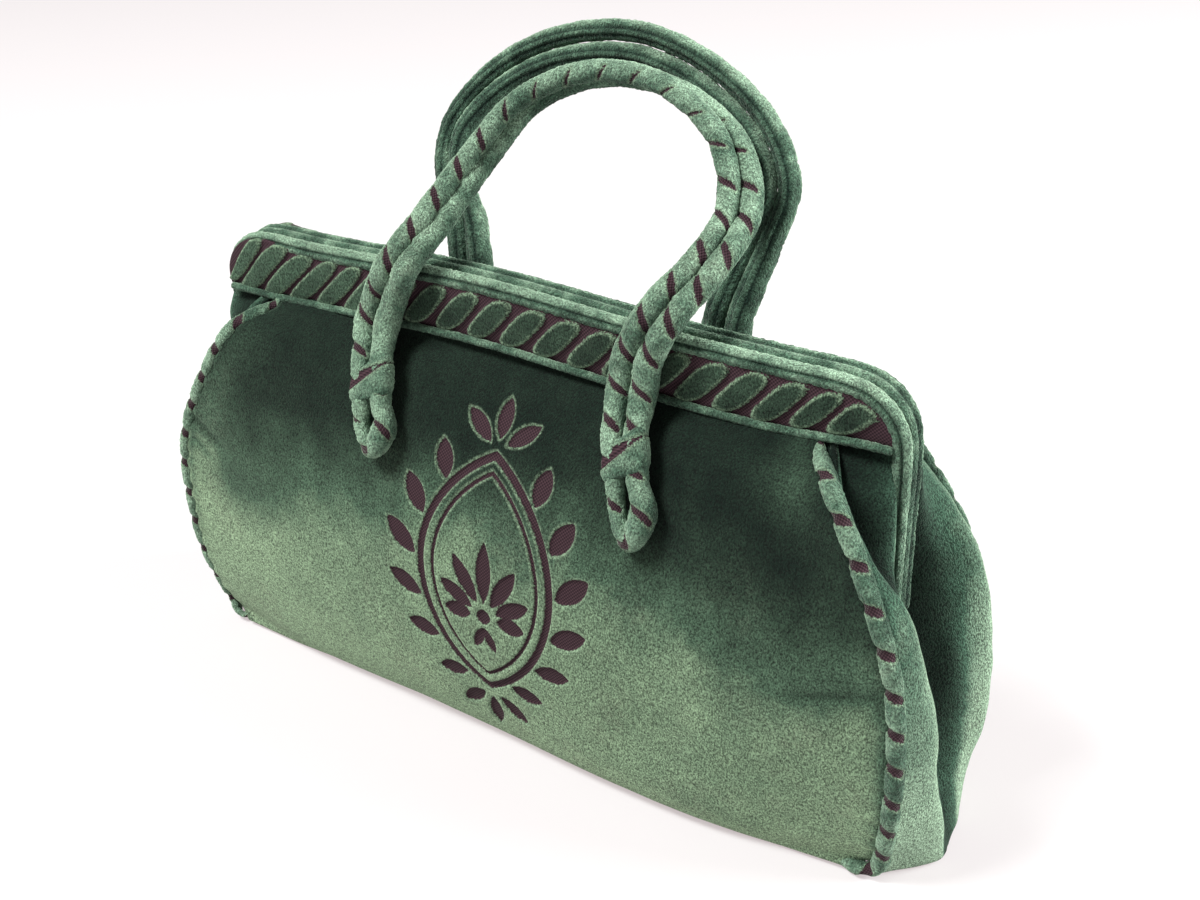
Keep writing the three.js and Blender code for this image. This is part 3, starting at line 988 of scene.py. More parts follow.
@dataclass(frozen=True)
class SeamCreases:
    """Creases in a panel's cloth that run in from its seams, sunk into the wall and darkened with painted
    shade.

    Attributes:
        lines: each crease's start and end, by x and height in millimetres, and its strength.
        width: half a crease's width, in millimetres.
        fade_in: shares of a crease's length between which it sets in.
    """

    lines: tuple[tuple[float, float, float, float, float], ...] = (
        (118, 75, 150, 85, 0.9), (-130, 95, -147, 105, 0.9), (-135, 88, -148, 96, 0.5))
    width: float = 1.7
    depth: float = 0.8 * MM
    shade: float = 0.3
    fade_in: Span = (-0.15, 0.25)
    fade_out: Span = (0.8, 1.15)

    def share(self, points: Array) -> Array:
        """Measures how far places lie in a crease.

        Args:
            points: places on the panel, in metres.

        Returns:
            One share for each place, from 0 on smooth cloth to about 1 in the middle of a crease.
        """
        x, z = points[..., 0] / MM, points[..., 2] / MM
        total = np.zeros_like(x)
        for start_x, start_z, end_x, end_z, strength in self.lines:
            across, rise = end_x - start_x, end_z - start_z
            length = math.hypot(across, rise)
            along = ((x - start_x) * across + (z - start_z) * rise) / length**2
            away = ((z - start_z) * across - (x - start_x) * rise) / length
            ends = smooth_step(*self.fade_in, along) * (1 - smooth_step(*self.fade_out, along))
            total += strength * ends * bell(away, self.width)
        return total


@dataclass(frozen=True)
class PanelNapAndShade:
    """How a panel's pile is brushed, with painted sheen and shade: dark below the mouth, light towards the
    base and the side seams.

    Attributes:
        across: places across where the light pile's upper edge is given, in millimetres.
        heights: heights of that edge, in millimetres.
        ragged: how far the edge wanders, over what distance, and how its marks are drawn out upwards.
        fade: heights from below the edge to above it over which the pile turns dark.
        marks: hand marks, by x, height and size in millimetres, and how much lighter each is.
        seam_width: width of the painted shade along both seams, as a share of half the panel.
    """

    across: tuple[float, ...] = (-148, -132, -112, -85, -60, -25, 40, 85, 120, 145)
    heights: tuple[float, ...] = (112, 95, 90, 98, 98, 106, 107, 98, 88, 92)
    ragged: tuple[Point, ...] = ((8 * MM, 45 * MM, 1), (4 * MM, 15 * MM, 1), (5 * MM, 9 * MM, 0.3))
    fade: Span = (-32 * MM, 26 * MM)
    left_reach: Span = (95 * MM, 140 * MM)
    left_spread: float = 1.1
    left_light: float = 0.19
    right_reach: Span = (0.0, 120 * MM)
    right_spread: float = 0.35
    right_loss: float = 0.05
    seam_reach: Span = (105 * MM, 140 * MM)
    seam_light: float = 0.08
    dark: float = 0.02
    light: float = 0.8
    marks: tuple[tuple[float, float, float, float], ...] = (
        (110, 143, 9, 0.22), (-124, 79, 13, -0.25), (-100, 108, 11, 0.1), (132, 83, 11, -0.16),
        (138, 73, 8, 0.12), (139, 94, 7, 0.1), (112, 96, 14, 0.08))
    seam_width: float = 0.025
    seam_shade: float = 0.45

    def brush(self, points: Array, from_seam: Array, creased: Array) -> Array:
        """Brushes the pile and paints its sheen and shade.

        Args:
            points: places on the panel, in metres.
            from_seam: distance of each column from its seam, as a share of half the panel.
            creased: how much darker each place is painted for the shade in a crease.

        Returns:
            The nap at each place.
        """
        x, z = points[..., 0], points[..., 2]
        edge = np.interp(x, np.array(self.across) * MM, np.array(self.heights) * MM)
        for sway, size, draw in self.ragged:
            edge = edge + sway * tufts(points * (1, 1, draw), size)
        left, right = smooth_step(*self.left_reach, -x), smooth_step(*self.right_reach, x)
        spread = 1 + self.left_spread * left + self.right_spread * right
        low = 1 - smooth_step(*self.fade, (z - edge) / spread)
        tone = self.dark + low * (self.light - self.right_loss * right)
        tone = tone + self.left_light * left + self.seam_light * smooth_step(*self.seam_reach, x)
        for mark_x, mark_z, size, lighter in self.marks:
            tone = tone + lighter * bell(np.hypot(x / MM - mark_x, z / MM - mark_z), size)
        return (tone - creased) * (1 - self.seam_shade * bell(from_seam, self.seam_width))


@dataclass
class Panel:
    """The front or back panel: a crowned velvet wall between its piped seams, in metres.

    Attributes:
        columns: places across, from -1 at the left seam to 1 at the right one.
        rows: steps from the mouth down to the hem.
        tuck: distance of the panel's edge from the middle of the piping that covers it.
        top_side: the right end of the edge behind the mouth, in millimetres, as for the hem.
        top_middle: depth and height of that edge's middle, in millimetres, as for the hem.
        rise_fade: the share of the panel that rises with the mouth's arch.
        crown: the power of the curve from seam to seam; a higher one is flatter in the middle.
        low_fullness: how much higher that power is at the hem.
        sags: slow swells along the hem, by x, size and depth in millimetres.
    """

    facing: Facing
    columns: Array
    rows: int
    motif: PanelMotif | None = None
    motif_height: float = 80 * MM
    wall: float = 2 * MM
    tuck: float = 1.8 * MM
    pile: float = 1.1 * MM
    pile_edge: float = 0.45 * MM
    top_side: Point = (112.0, 7.4, 153.4)
    top_middle: Span = (5.0, 152.8)
    hem_side: Point = (140, 30.8, 2.0)
    hem_middle: Span = (32.8, 1.8)
    rise_fade: float = 0.2
    crown: float = 2.0
    low_fullness: float = 1.6
    low_start: float = 0.55
    sags: tuple[Point, ...] = ((75, 40, 3.0), (-45, 45, -3.2))
    sag_heights: Span = (4 * MM, 40 * MM)
    half_width: float = 150 * MM
    slack: float = 0.9 * MM
    slack_size: float = 38 * MM
    slack_inset: float = 22 * MM
    slack_top: float = 0.12
    pucker: float = 0.35 * MM
    pucker_reach: float = 6 * MM
    pucker_pitch: float = 8 * MM
    nap: PanelNapAndShade = PanelNapAndShade()
    creases: SeamCreases = SeamCreases()

    def _lines(self) -> tuple[Array, Array]:
        """Lays out the panel's right edge, just inside its piping, and its middle line.

        Returns:
            The stops of both lines from the mouth down to the hem, in metres.
        """
        out, count = self.facing.value, len(PANEL_ROWS)
        middles = np.array([(0, out * row.mid_depth, row.mid_height) for row in PANEL_ROWS]) * MM
        seam = seam_stops(self.facing)
        places = np.arange(count) / (len(seam) - 1)
        tangent = unit(spline(seam, places + TANGENT_STEP) - spline(seam, places - TANGENT_STEP))
        sides = seam[:count] + square_to(middles - seam[:count], tangent) * self.tuck
        top, hem = (np.array(end) * (1, out, 1) * MM for end in (self.top_side, self.hem_side))
        first, last = (np.array((0, out * depth, height)) * MM
                       for depth, height in (self.top_middle, self.hem_middle))
        return np.vstack([top, sides, hem]), np.vstack([first, middles, last])

    def _even_rows(self, middles: Array) -> tuple[Array, Array]:
        """Spaces the rows evenly down the panel's middle line.

        Args:
            middles: the stops of the middle line, in metres.

        Returns:
            Each row's place on the lines, from 0 to 1, and its distance down the middle in metres.
        """
        fine = np.linspace(0, 1, LINE_STEPS)
        run = run_along(spline(middles, fine))
        even = np.linspace(0, run[-1], self.rows + 1)
        return np.interp(even, run, fine), even

    def grid(self) -> ClothGrid:
        """Lays the panel's outer face out as a grid.

        Returns:
            The face, with its motif and its brushed pile.
        """
        sides, middles = self._lines()
        places, run = self._even_rows(middles)
        side, middle = spline(sides, places)[:, None], spline(middles, places)[:, None]
        power = self.crown + self.low_fullness * smooth_step(self.low_start, 1, places)[:, None, None]
        points = side + (middle - side) * (1 - np.abs(self.columns[None, :, None]) ** power)
        x, y, z = (points[..., k] for k in range(3))
        x[:] = side[..., 0] * self.columns
        z += MOUTH.lift(x) * np.maximum(0, 1 - places[:, None] / self.rise_fade)
        low = 1 - smooth_step(*self.sag_heights, z)
        for place, size, out in self.sags:
            y += self.facing.value * out * MM * bell(x / MM - place, size) * low
        up = np.interp(self.motif_height, middle[::-1, 0, 2], run[::-1]) - run
        uv = layered(x, up[:, None])
        void = self.motif.depth(uv[..., 0], uv[..., 1]) if self.motif else all_pile(x.shape)
        creased = self.creases.share(points)
        from_seam = (1 - np.abs(self.columns))[None, :]
        # The creases' painted shade goes into the nap.
        nap = self.nap.brush(points, from_seam, self.creases.shade * creased)
        cloth = ClothGrid(points, uv, void, nap)
        sunk = self.pile * smooth_step(-self.pile_edge, self.pile_edge, void) + self.creases.depth * creased
        relief = self._slack(points, places, from_seam * self.half_width)
        cloth.raise_face(self.facing.way, self.wall / 2 + relief + fleece(points) - sunk)
        return cloth

    def _slack(self, points: Array, places: Array, from_seam: Array) -> Array:
        """Measures the cloth's slow hollows and its puckers along the seams.

        Args:
            points: places on the panel, in metres.
            places: each row's place on the way down, from 0 to 1.
            from_seam: distance of each column from its seam, in metres.

        Returns:
            How far each place stands out, in metres.
        """
        inner = smooth_step(0, self.slack_inset, from_seam) * smooth_step(0, self.slack_top, places)[:, None]
        waves = np.sin(points[..., 2] * 2 * np.pi / self.pucker_pitch)
        pucker = self.pucker * np.exp(-from_seam / self.pucker_reach) * waves
        return self.slack * tufts(points, self.slack_size) * inner + pucker

    def build(self, velvet: Velvet) -> Piece:
        """Builds the panel, dresses it and returns it."""
        half, way = self.facing.label, self.facing.way
        return velvet.sheet(self.grid(), f"{half}_panel", way, self.wall)


@dataclass(frozen=True)
class GussetNapAndShade:
    """Painted light and shade on a gusset's pile, with its nap: shade in the fold and the pocket, light on
    the bulge and at the foot.

    Places across a half are shares, from 0 at its seam to 1 at the fold. Heights are in metres.

    Attributes:
        front_light: painted light on the front bulge, as nap, and how much lighter it is low down.
        back_light: painted light on the back bulge, as nap, and how much darker it is high up.
        foot: how much further in the back bulge reaches at the floor.
        seam: width of the line of painted shade along the seams, and the share of the nap that it takes away.
        mottle: how much the bulges' nap varies, and over what distance in metres.
        flap_rim: place, width and nap of the painted highlight along the rim of the flap under the frame, as
            for its ridge.
        flap_back: places between which the pile behind the rim sets in, and its nap.
    """

    dark: float = 0.02
    front_bulge: Span = (0.42, 0.62)
    front_light: Span = (0.56, 0.44)
    front_fade: Span = (10 * MM, 95 * MM)
    back_bulge: Span = (0.44, 0.92)
    back_light: Span = (0.97, 0.5)
    back_fade: Span = (60 * MM, 120 * MM)
    foot: float = 0.14
    foot_fade: Span = (15 * MM, 60 * MM)
    seam: Span = (0.1, 0.5)
    mottle: Span = (0.12, 20 * MM)
    flap_heights: Span = (104 * MM, 118 * MM)
    flap_rim: Point = (0.8, 0.045, 0.36)
    flap_ridge: Point = (0.3, 0.12, 0.5)
    flap_back: Point = (0.66, 0.8, 0.06)

    def brush(self, points: Array, fold: Array, front: Array) -> Array:
        """Brushes the pile and paints its light and shade.

        Args:
            points: places on the gusset, in metres.
            fold: places across each half.
            front: whether each place is in the front half.

        Returns:
            The nap at each place.
        """
        z = points[..., 2]
        foot = self.foot * (1 - smooth_step(*self.foot_fade, z))
        back_shape = 1 - smooth_step(*self.back_bulge, fold - foot)
        bulge = np.where(front, 1 - smooth_step(*self.front_bulge, fold), back_shape)
        front_tone = self.front_light[0] + self.front_light[1] * (1 - smooth_step(*self.front_fade, z))
        back_tone = self.back_light[0] - self.back_light[1] * smooth_step(*self.back_fade, z)
        seam_width, seam_shade = self.seam
        swing, size = self.mottle
        tone = np.where(front, front_tone, back_tone) * (1 - seam_shade * bell(fold, seam_width))
        # Painted shade in the fold, painted light on the bulges.
        open_shade = self.dark + bulge * (tone + swing * tufts(points, size))
        # Under the frame the front flap gets painted shade in its pocket and painted highlights on its rim
        # and ridge.
        start, full, behind = self.flap_back
        flap_shade = behind * smooth_step(start, full, fold)
        for place, width, light in (self.flap_rim, self.flap_ridge):
            flap_shade = flap_shade + light * bell(fold - place, width)
        above = smooth_step(*self.flap_heights, z) * front
        return open_shade * (1 - above) + flap_shade * above


@dataclass
class Gusset:
    """An end gusset: velvet that folds inwards under the frame and opens out at the floor, in metres.

    Attributes:
        across: steps from the front seam to the back one.
        up: steps from the floor to the frame.
        top_share: the share of the height where the cloth starts to run up behind the frame.
        top_draw: the share by which its upper edge is drawn in there.
        left_reach: how much further the left front flap runs out over the frame's arm, in millimetres.
        folds: depths of the cloth's small folds and their sizes.
    """

    side: Side
    across: int = 120
    up: int = 100
    wall: float = 1.8 * MM
    top_share: float = 0.9
    top_tuck: float = 4.5 * MM
    top_draw: float = 0.42
    left_reach: float = 3.0
    flap_height: float = 110.0
    folds: tuple[Span, ...] = ((1.1 * MM, 24 * MM), (0.4 * MM, 9 * MM))
    calm: float = 0.12
    nap: GussetNapAndShade = GussetNapAndShade()

    def _half(self, facing: Facing) -> list[list[Point]]:
        """Gives the lines of one half, from its seam to beside the fold.

        Args:
            facing: the half of the bag.

        Returns:
            Five lines of points, each from the floor up, in millimetres.
        """
        seam = np.array([(row.seam_height, row.seam_x, row.seam_depth) for row in reversed(PANEL_ROWS)])
        rows = FRONT_GUSSET_ROWS if facing is Facing.FRONT else BACK_GUSSET_ROWS
        lines: list[list[Point]] = [[] for _ in range(5)]
        for row in rows:
            sewn = tuple(np.interp(row.z, seam[:, 0], seam[:, k]) for k in (1, 2))
            turn_x, turn_y = row.turn
            if facing is Facing.FRONT and self.side is Side.LEFT and row.z > self.flap_height:
                turn_x += self.left_reach
            for line, (x, y) in zip(lines, (sewn, row.edge, row.bulge, row.pocket, (turn_x, turn_y))):
                line.append((self.side.value * x, facing.value * y, row.z))
        return lines

    def grid(self) -> ClothGrid:
        """Lays the gusset's outer face out as a grid.

        Returns:
            The face, with its folds and its brushed pile.
        """
        fold_line = [(self.side.value * row.fold_x, 0.0, row.z) for row in FRONT_GUSSET_ROWS]
        lines = self._half(Facing.FRONT) + [fold_line] + self._half(Facing.BACK)[::-1]
        rows, places = np.linspace(0, 1, self.up + 1), np.linspace(0, 1, self.across + 1)
        stops = spline(np.array(lines).transpose(1, 0, 2) * MM, rows).transpose(1, 0, 2)
        points = spline(stops, places).transpose(1, 0, 2)
        top = smooth_step(self.top_share, 1, rows)[:, None]
        points[..., 2] += self.top_tuck * top
        points[..., 1] *= 1 - self.top_draw * top
        fold = 1 - np.abs(2 * places - 1)[None, :]
        # The nap carries painted shade in the fold and the pocket and painted light on the bulges.
        nap = self.nap.brush(points, fold, places[None, :] < 0.5)
        run = np.cumsum(np.linalg.norm(np.gradient(points, axis=1), axis=2), axis=1)
        cloth = ClothGrid(points, layered(run, points[..., 2]), all_pile(nap.shape), nap)
        slack = sum(depth * tufts(points, size) for depth, size in self.folds)
        height = self.wall / 2 + slack * smooth_step(0, self.calm, fold) + fleece(points)
        cloth.raise_face(self.side.way, height)
        return cloth

    def build(self, velvet: Velvet) -> Piece:
        """Builds the gusset, dresses it and returns it."""
        node, sewn_to = f"{self.side.label}_gusset", ["front_piping", "back_piping"]
        return velvet.sheet(self.grid(), node, self.side.way, self.wall)


@dataclass
class Base:
    """The flat base, velvet over a stiff board, whose ends follow the foot of the gussets.

    Attributes:
        inset: how far it stays inside the gussets, in millimetres.
        ripple: height of its unevenness and the distance over which it changes, in metres.
        mottle: how much the nap varies, and over what distance in metres.
    """

    wall: float = 1.7 * MM
    inset: float = 1.5
    across: int = 120
    deep: int = 40
    outline_steps: int = 120
    ripple: Span = (0.12 * MM, 6 * MM)
    nap: float = 0.45
    mottle: Span = (0.25, 30 * MM)

    def build(self, velvet: Velvet) -> Piece:
        """Builds the base and dresses it.

        Args:
            velvet: the base's velvet.

        Returns:
            The base.
        """
        front, back = FRONT_GUSSET_ROWS[0], BACK_GUSSET_ROWS[0]
        ahead = [(x - self.inset, self.inset - y) for x, y in (front.edge, front.bulge, front.turn)]
        behind = [(x - self.inset, y - self.inset) for x, y in (back.turn, back.bulge, back.edge)]
        line = spline(np.array(ahead + behind) * MM, np.linspace(0, 1, self.outline_steps))
        y = np.linspace(line[0, 1], line[-1, 1], self.deep + 1)[:, None]
        x = np.linspace(-1, 1, self.across + 1)[None, :] * np.interp(y, line[:, 1], line[:, 0])
        points = layered(x, y, np.zeros_like(x))
        height, size = self.ripple
        points[..., 2] = height * (1 + tufts(points, size))
        swing, reach = self.mottle
        nap = self.nap + swing * tufts(points, reach)
        cloth = ClothGrid(points, points[..., :2].copy(), all_pile(x.shape), nap)
        piece = cloth.build("base_velvet", outward=np.array((0, 0, -1.0)))
        add_wall(piece, self.wall)
        return velvet.dress(piece, "base")


@dataclass(frozen=True)
class Dashes:
    """Bare woven dashes across a velvet cord.

    Attributes:
        pitch: distance from one dash to the next, in metres.
        width: along the cord, in metres.
        span: half the angle that a dash takes round the cord, in radians.
        slant: how far a dash leans along the cord for each metre round it.
        pinch: how far the cord is drawn in at a dash, as a share of its radius.
        taper: the power by which a dash narrows towards its ends.
        swell: how much of the drawing in is spread from dash to dash.
        notch: half the width of the sharp part of it, as a share of the pitch.
        notch_span: its reach round the cord, as a share of the dash's.
    """

    pitch: float
    width: float
    span: float
    slant: float
    pinch: float
    taper: float = 0.3
    swell: float = 0.3
    notch: float = 0.11
    notch_span: float = 1.3

    def press(self, run: Array, angle: Array, radius: Array) -> tuple[Array, Array]:
        """Presses the dashes into a cord.

        Args:
            run: distances along the cord, in metres.
            angle: angles round it from the way it faces, in radians.
            radius: the cord's radius at each place, in metres.

        Returns:
            How deep each place lies inside a dash, above zero inside it, and the share of the radius left.
        """
        place = run - self.slant * angle * radius
        away = place - self.pitch * np.round(place / self.pitch)
        narrow = np.maximum(1 - (angle / self.span) ** 2, 0) ** self.taper
        depth = np.minimum(self.width / 2 * narrow - np.abs(away), (self.span - np.abs(angle)) * radius)
        away = away / self.pitch
        drawn = self.swell * np.cos(2 * np.pi * away) + bell(away, self.notch)
        return depth, 1 - self.pinch * drawn * bell(angle, self.notch_span * self.span)


@dataclass(frozen=True)
class VelvetCord:
    """How a velvet-covered cord is made up, in metres.

    Attributes:
        sides: points round the cord.
        step: distance between rings.
        plain: the shares of the cord's length between which it has no dashes.
        thin: how far the edges of its dashes are drawn in high up.
        seams: angles of its sewn seams from the way it faces, in radians.
        mottle: how much the nap varies, and over what distances.
        top_light: painted light: how much lighter its pile is painted on top than on its sides.
        side_shade: painted shade: how much darker its pile is painted down its sides, away from the way it
            faces.
    """

    sides: int
    step: float
    dashes: Dashes | None = None
    dash_depth: float = 0.45 * MM
    dash_edge: float = 0.35 * MM
    plain: Span = (1.0, 1.0)
    thin: float = 0.0
    thin_heights: Span = (212 * MM, 238 * MM)
    seams: tuple[float, ...] = ()
    seam_depth: float = 0.7 * MM
    seam_width: float = 0.7 * MM
    seam_shade: float = 0.45
    shade_width: float = 0.8
    tuft: float = 0.28 * MM
    tuft_size: float = 1.2 * MM
    nap: float = 0.55
    mottle: tuple[Span, ...] = ((0.3, 8 * MM), (0.16, 3 * MM))
    top_light: float = 0.2
    side_shade: float = 0.0

    @staticmethod
    def _from_seam(angle: Array, seam: float, thick: Array) -> Array:
        """Distance round the cord from a seam, in metres."""
        return np.abs((angle - seam + np.pi) % (2 * np.pi) - np.pi) * thick

    def _brush(self, points: Array, ways: Array, angle: Array, thick: Array) -> Array:
        """Brushes the cord's pile and paints light on its top and shade down its sides and along its seams.

        Args:
            points: places on the cord's skin, in metres.
            ways: the way out of the cord at each place.
            angle: angles round it from the way it faces, in radians.
            thick: its radius at each place, in metres.

        Returns:
            The nap at each place.
        """
        # Painted light on top and painted shade down the sides.
        nap = self.nap + self.top_light * unit(ways)[..., 2] - self.side_shade * (1 - np.cos(angle))
        for swing, size in self.mottle:
            nap = nap + swing * tufts(points, size)
        # Painted shade along the sewn seams.
        for seam in self.seams:
            away = self._from_seam(angle, seam, thick)
            nap = nap - self.seam_shade * bell(away, self.shade_width * self.seam_width)
        return nap

    def grid(self, stops: Array, facing: Array, radius: Callable[[Array], Array],
             flatten: float = 1.0, closed: bool = False) -> ClothGrid:
        """Lays the cord's skin out as a grid round its route.

        Args:
            stops: the route's stops, in metres.
            facing: the way that the cord's front faces.
            radius: the cord's radius for each point of its route.
            flatten: the radius towards the front, as a share of the radius across it.
            closed: whether the route runs back to its first stop.

        Returns:
            The skin, whose first and last columns meet.
        """
        route = even_route(stops, self.step, closed)
        ring = np.vstack([route[-2], route, route[1]])
        tangent = unit(ring[2:] - ring[:-2] if closed else np.gradient(route, axis=0))
        front = square_to(facing, tangent)
        across = np.cross(tangent, front)
        run = run_along(route)[:, None]
        angle = np.linspace(-np.pi, np.pi, self.sides + 1)[None, :]
        thick = radius(route)[:, None] * np.ones_like(angle)
        void = all_pile(thick.shape)
        if self.dashes:
            void, left = self.dashes.press(run, angle, thick)
            void = void - self.thin * smooth_step(*self.thin_heights, route[:, 2:])
            share, (start, end) = run / run[-1], self.plain
            void = np.where((share > start) & (share < end), -VOID_REACH, void)
            thick = thick * left
        for seam in self.seams:
            thick = thick - self.seam_depth * bell(self._from_seam(angle, seam, thick), self.seam_width)
        turn = angle[..., None]
        ways = front[:, None] * np.cos(turn) * flatten + across[:, None] * np.sin(turn)
        points = route[:, None] + ways * thick[..., None]
        pile = self.tuft * (tufts(points, self.tuft_size) + 0.5 * tufts(points, 0.5 * self.tuft_size))
        bare = smooth_step(-self.dash_edge, self.dash_edge, void)
        points = points + ways * (pile * (1 - bare) - self.dash_depth * bare)[..., None]
        points[:, -1] = points[:, 0]
        if closed:
            points[-1] = points[0]
        else:
            points[0], points[-1] = route[0], route[-1]
        return ClothGrid(points, layered(angle * thick, run), void, self._brush(points, ways, angle, thick))


def rounded_ends(route: Array, radius: float, reach: float) -> Array:
    """Gives a radius that is even along a cord and rounds off at both ends.

    Args:
        route: points along the cord, in metres.
        radius: the cord's radius, in metres.
        reach: length of each rounded end, in metres.

    Returns:
        One radius for each point.
    """
    run = run_along(route)
    near = np.clip(np.minimum(run, run[-1] - run) / reach, 0, 1)
    return radius * np.sqrt(np.maximum(1 - (1 - near) ** 2, 0))


@dataclass
class Piping:
    """The piped seam of a panel: down one side, under the hem and up the other side, in metres.

    Attributes:
        end_reach: length of each rounded end, in radii.
        top: the right end's place, in millimetres.
        foot: the right half's route round the lower corner and under the hem, in millimetres.
        left_thin: distances left of the middle between which it grows thinner, and the share it loses.
        hem_thin: heights below which it is flattened under the hem, and the share it loses.
        foot_thin: heights below which its left side is thinner still, and the share it loses.
        hidden_thin: heights above which the back one is tucked in, and the share it loses.
    """

    facing: Facing
    radius: float = 3.2 * MM
    end_reach: float = 5.0
    top: Point = (112.2, 8.4, 153.4)
    foot: tuple[Point, ...] = (
        (150.2, 29.6, 7.8), (147.5, 30.9, 4.4), (142.5, 31.0, 3.2), (136, 28.5, 3),
        (128, 25.5, 3.2), (114, 25, 3.4), (60, 25, 3.6), (0, 25, 3.6))
    dashes: Dashes = Dashes(14.5 * MM, 3.9 * MM, math.radians(95), -0.45, 0.11)
    nap: float = 0.62
    top_light: float = 0.06
    side_shade: float = 0.2
    left_light: float = 0.2
    left_reach: Span = (120 * MM, 145 * MM)
    left_thin: Point = (100 * MM, 140 * MM, 0.25)
    hem_thin: Point = (3.2 * MM, 7 * MM, 0.16)
    foot_thin: Point = (20 * MM, 60 * MM, 0.35)
    hidden_thin: Point = (80 * MM, 105 * MM, 0.3)

    def _radius(self, route: Array) -> Array:
        """Gives the piping's radius, less where it is drawn in.

        Args:
            route: points along the piping, in metres.

        Returns:
            One radius for each point.
        """
        x, z = route[:, 0], route[:, 2]
        radii = rounded_ends(route, self.radius, self.end_reach * self.radius)
        left = smooth_step(*self.left_thin[:2], -x)
        under = 1 - smooth_step(*self.hem_thin[:2], z)
        foot = left * (1 - smooth_step(*self.foot_thin[:2], z))
        hidden = smooth_step(*self.hidden_thin[:2], z) * (self.facing is Facing.BACK)
        for share, (_, _, loss) in ((left, self.left_thin), (under, self.hem_thin), (foot, self.foot_thin),
                                    (hidden, self.hidden_thin)):
            radii = radii * (1 - loss * share)
        return radii

    def build(self, velvet: Velvet) -> Piece:
        """Builds the piping and dresses it.

        Args:
            velvet: the piping's velvet.

        Returns:
            The piping.
        """
        ends = np.array((self.top, *self.foot)) * (1, self.facing.value, 1) * MM
        half = np.vstack([ends[0], seam_stops(self.facing)[: len(PANEL_ROWS) - 1], ends[1:]])
        stops = np.vstack([half, (half[:-1] * (-1, 1, 1))[::-1]])
        sides, step = (32, 0.7 * MM) if self.facing is Facing.FRONT else (28, 0.9 * MM)
        # Painted light on top of the piping and painted shade down its sides.
        cord = VelvetCord(sides, step, self.dashes, nap=self.nap, top_light=self.top_light,
                          side_shade=self.side_shade)
        cloth = cord.grid(stops, self.facing.way, self._radius)
        cloth.nap = cloth.nap + self.left_light * smooth_step(*self.left_reach, -cloth.points[..., 0])
        node = f"{self.facing.label}_piping"
        return velvet.dress(cloth.build(f"{node}_cord"), node)


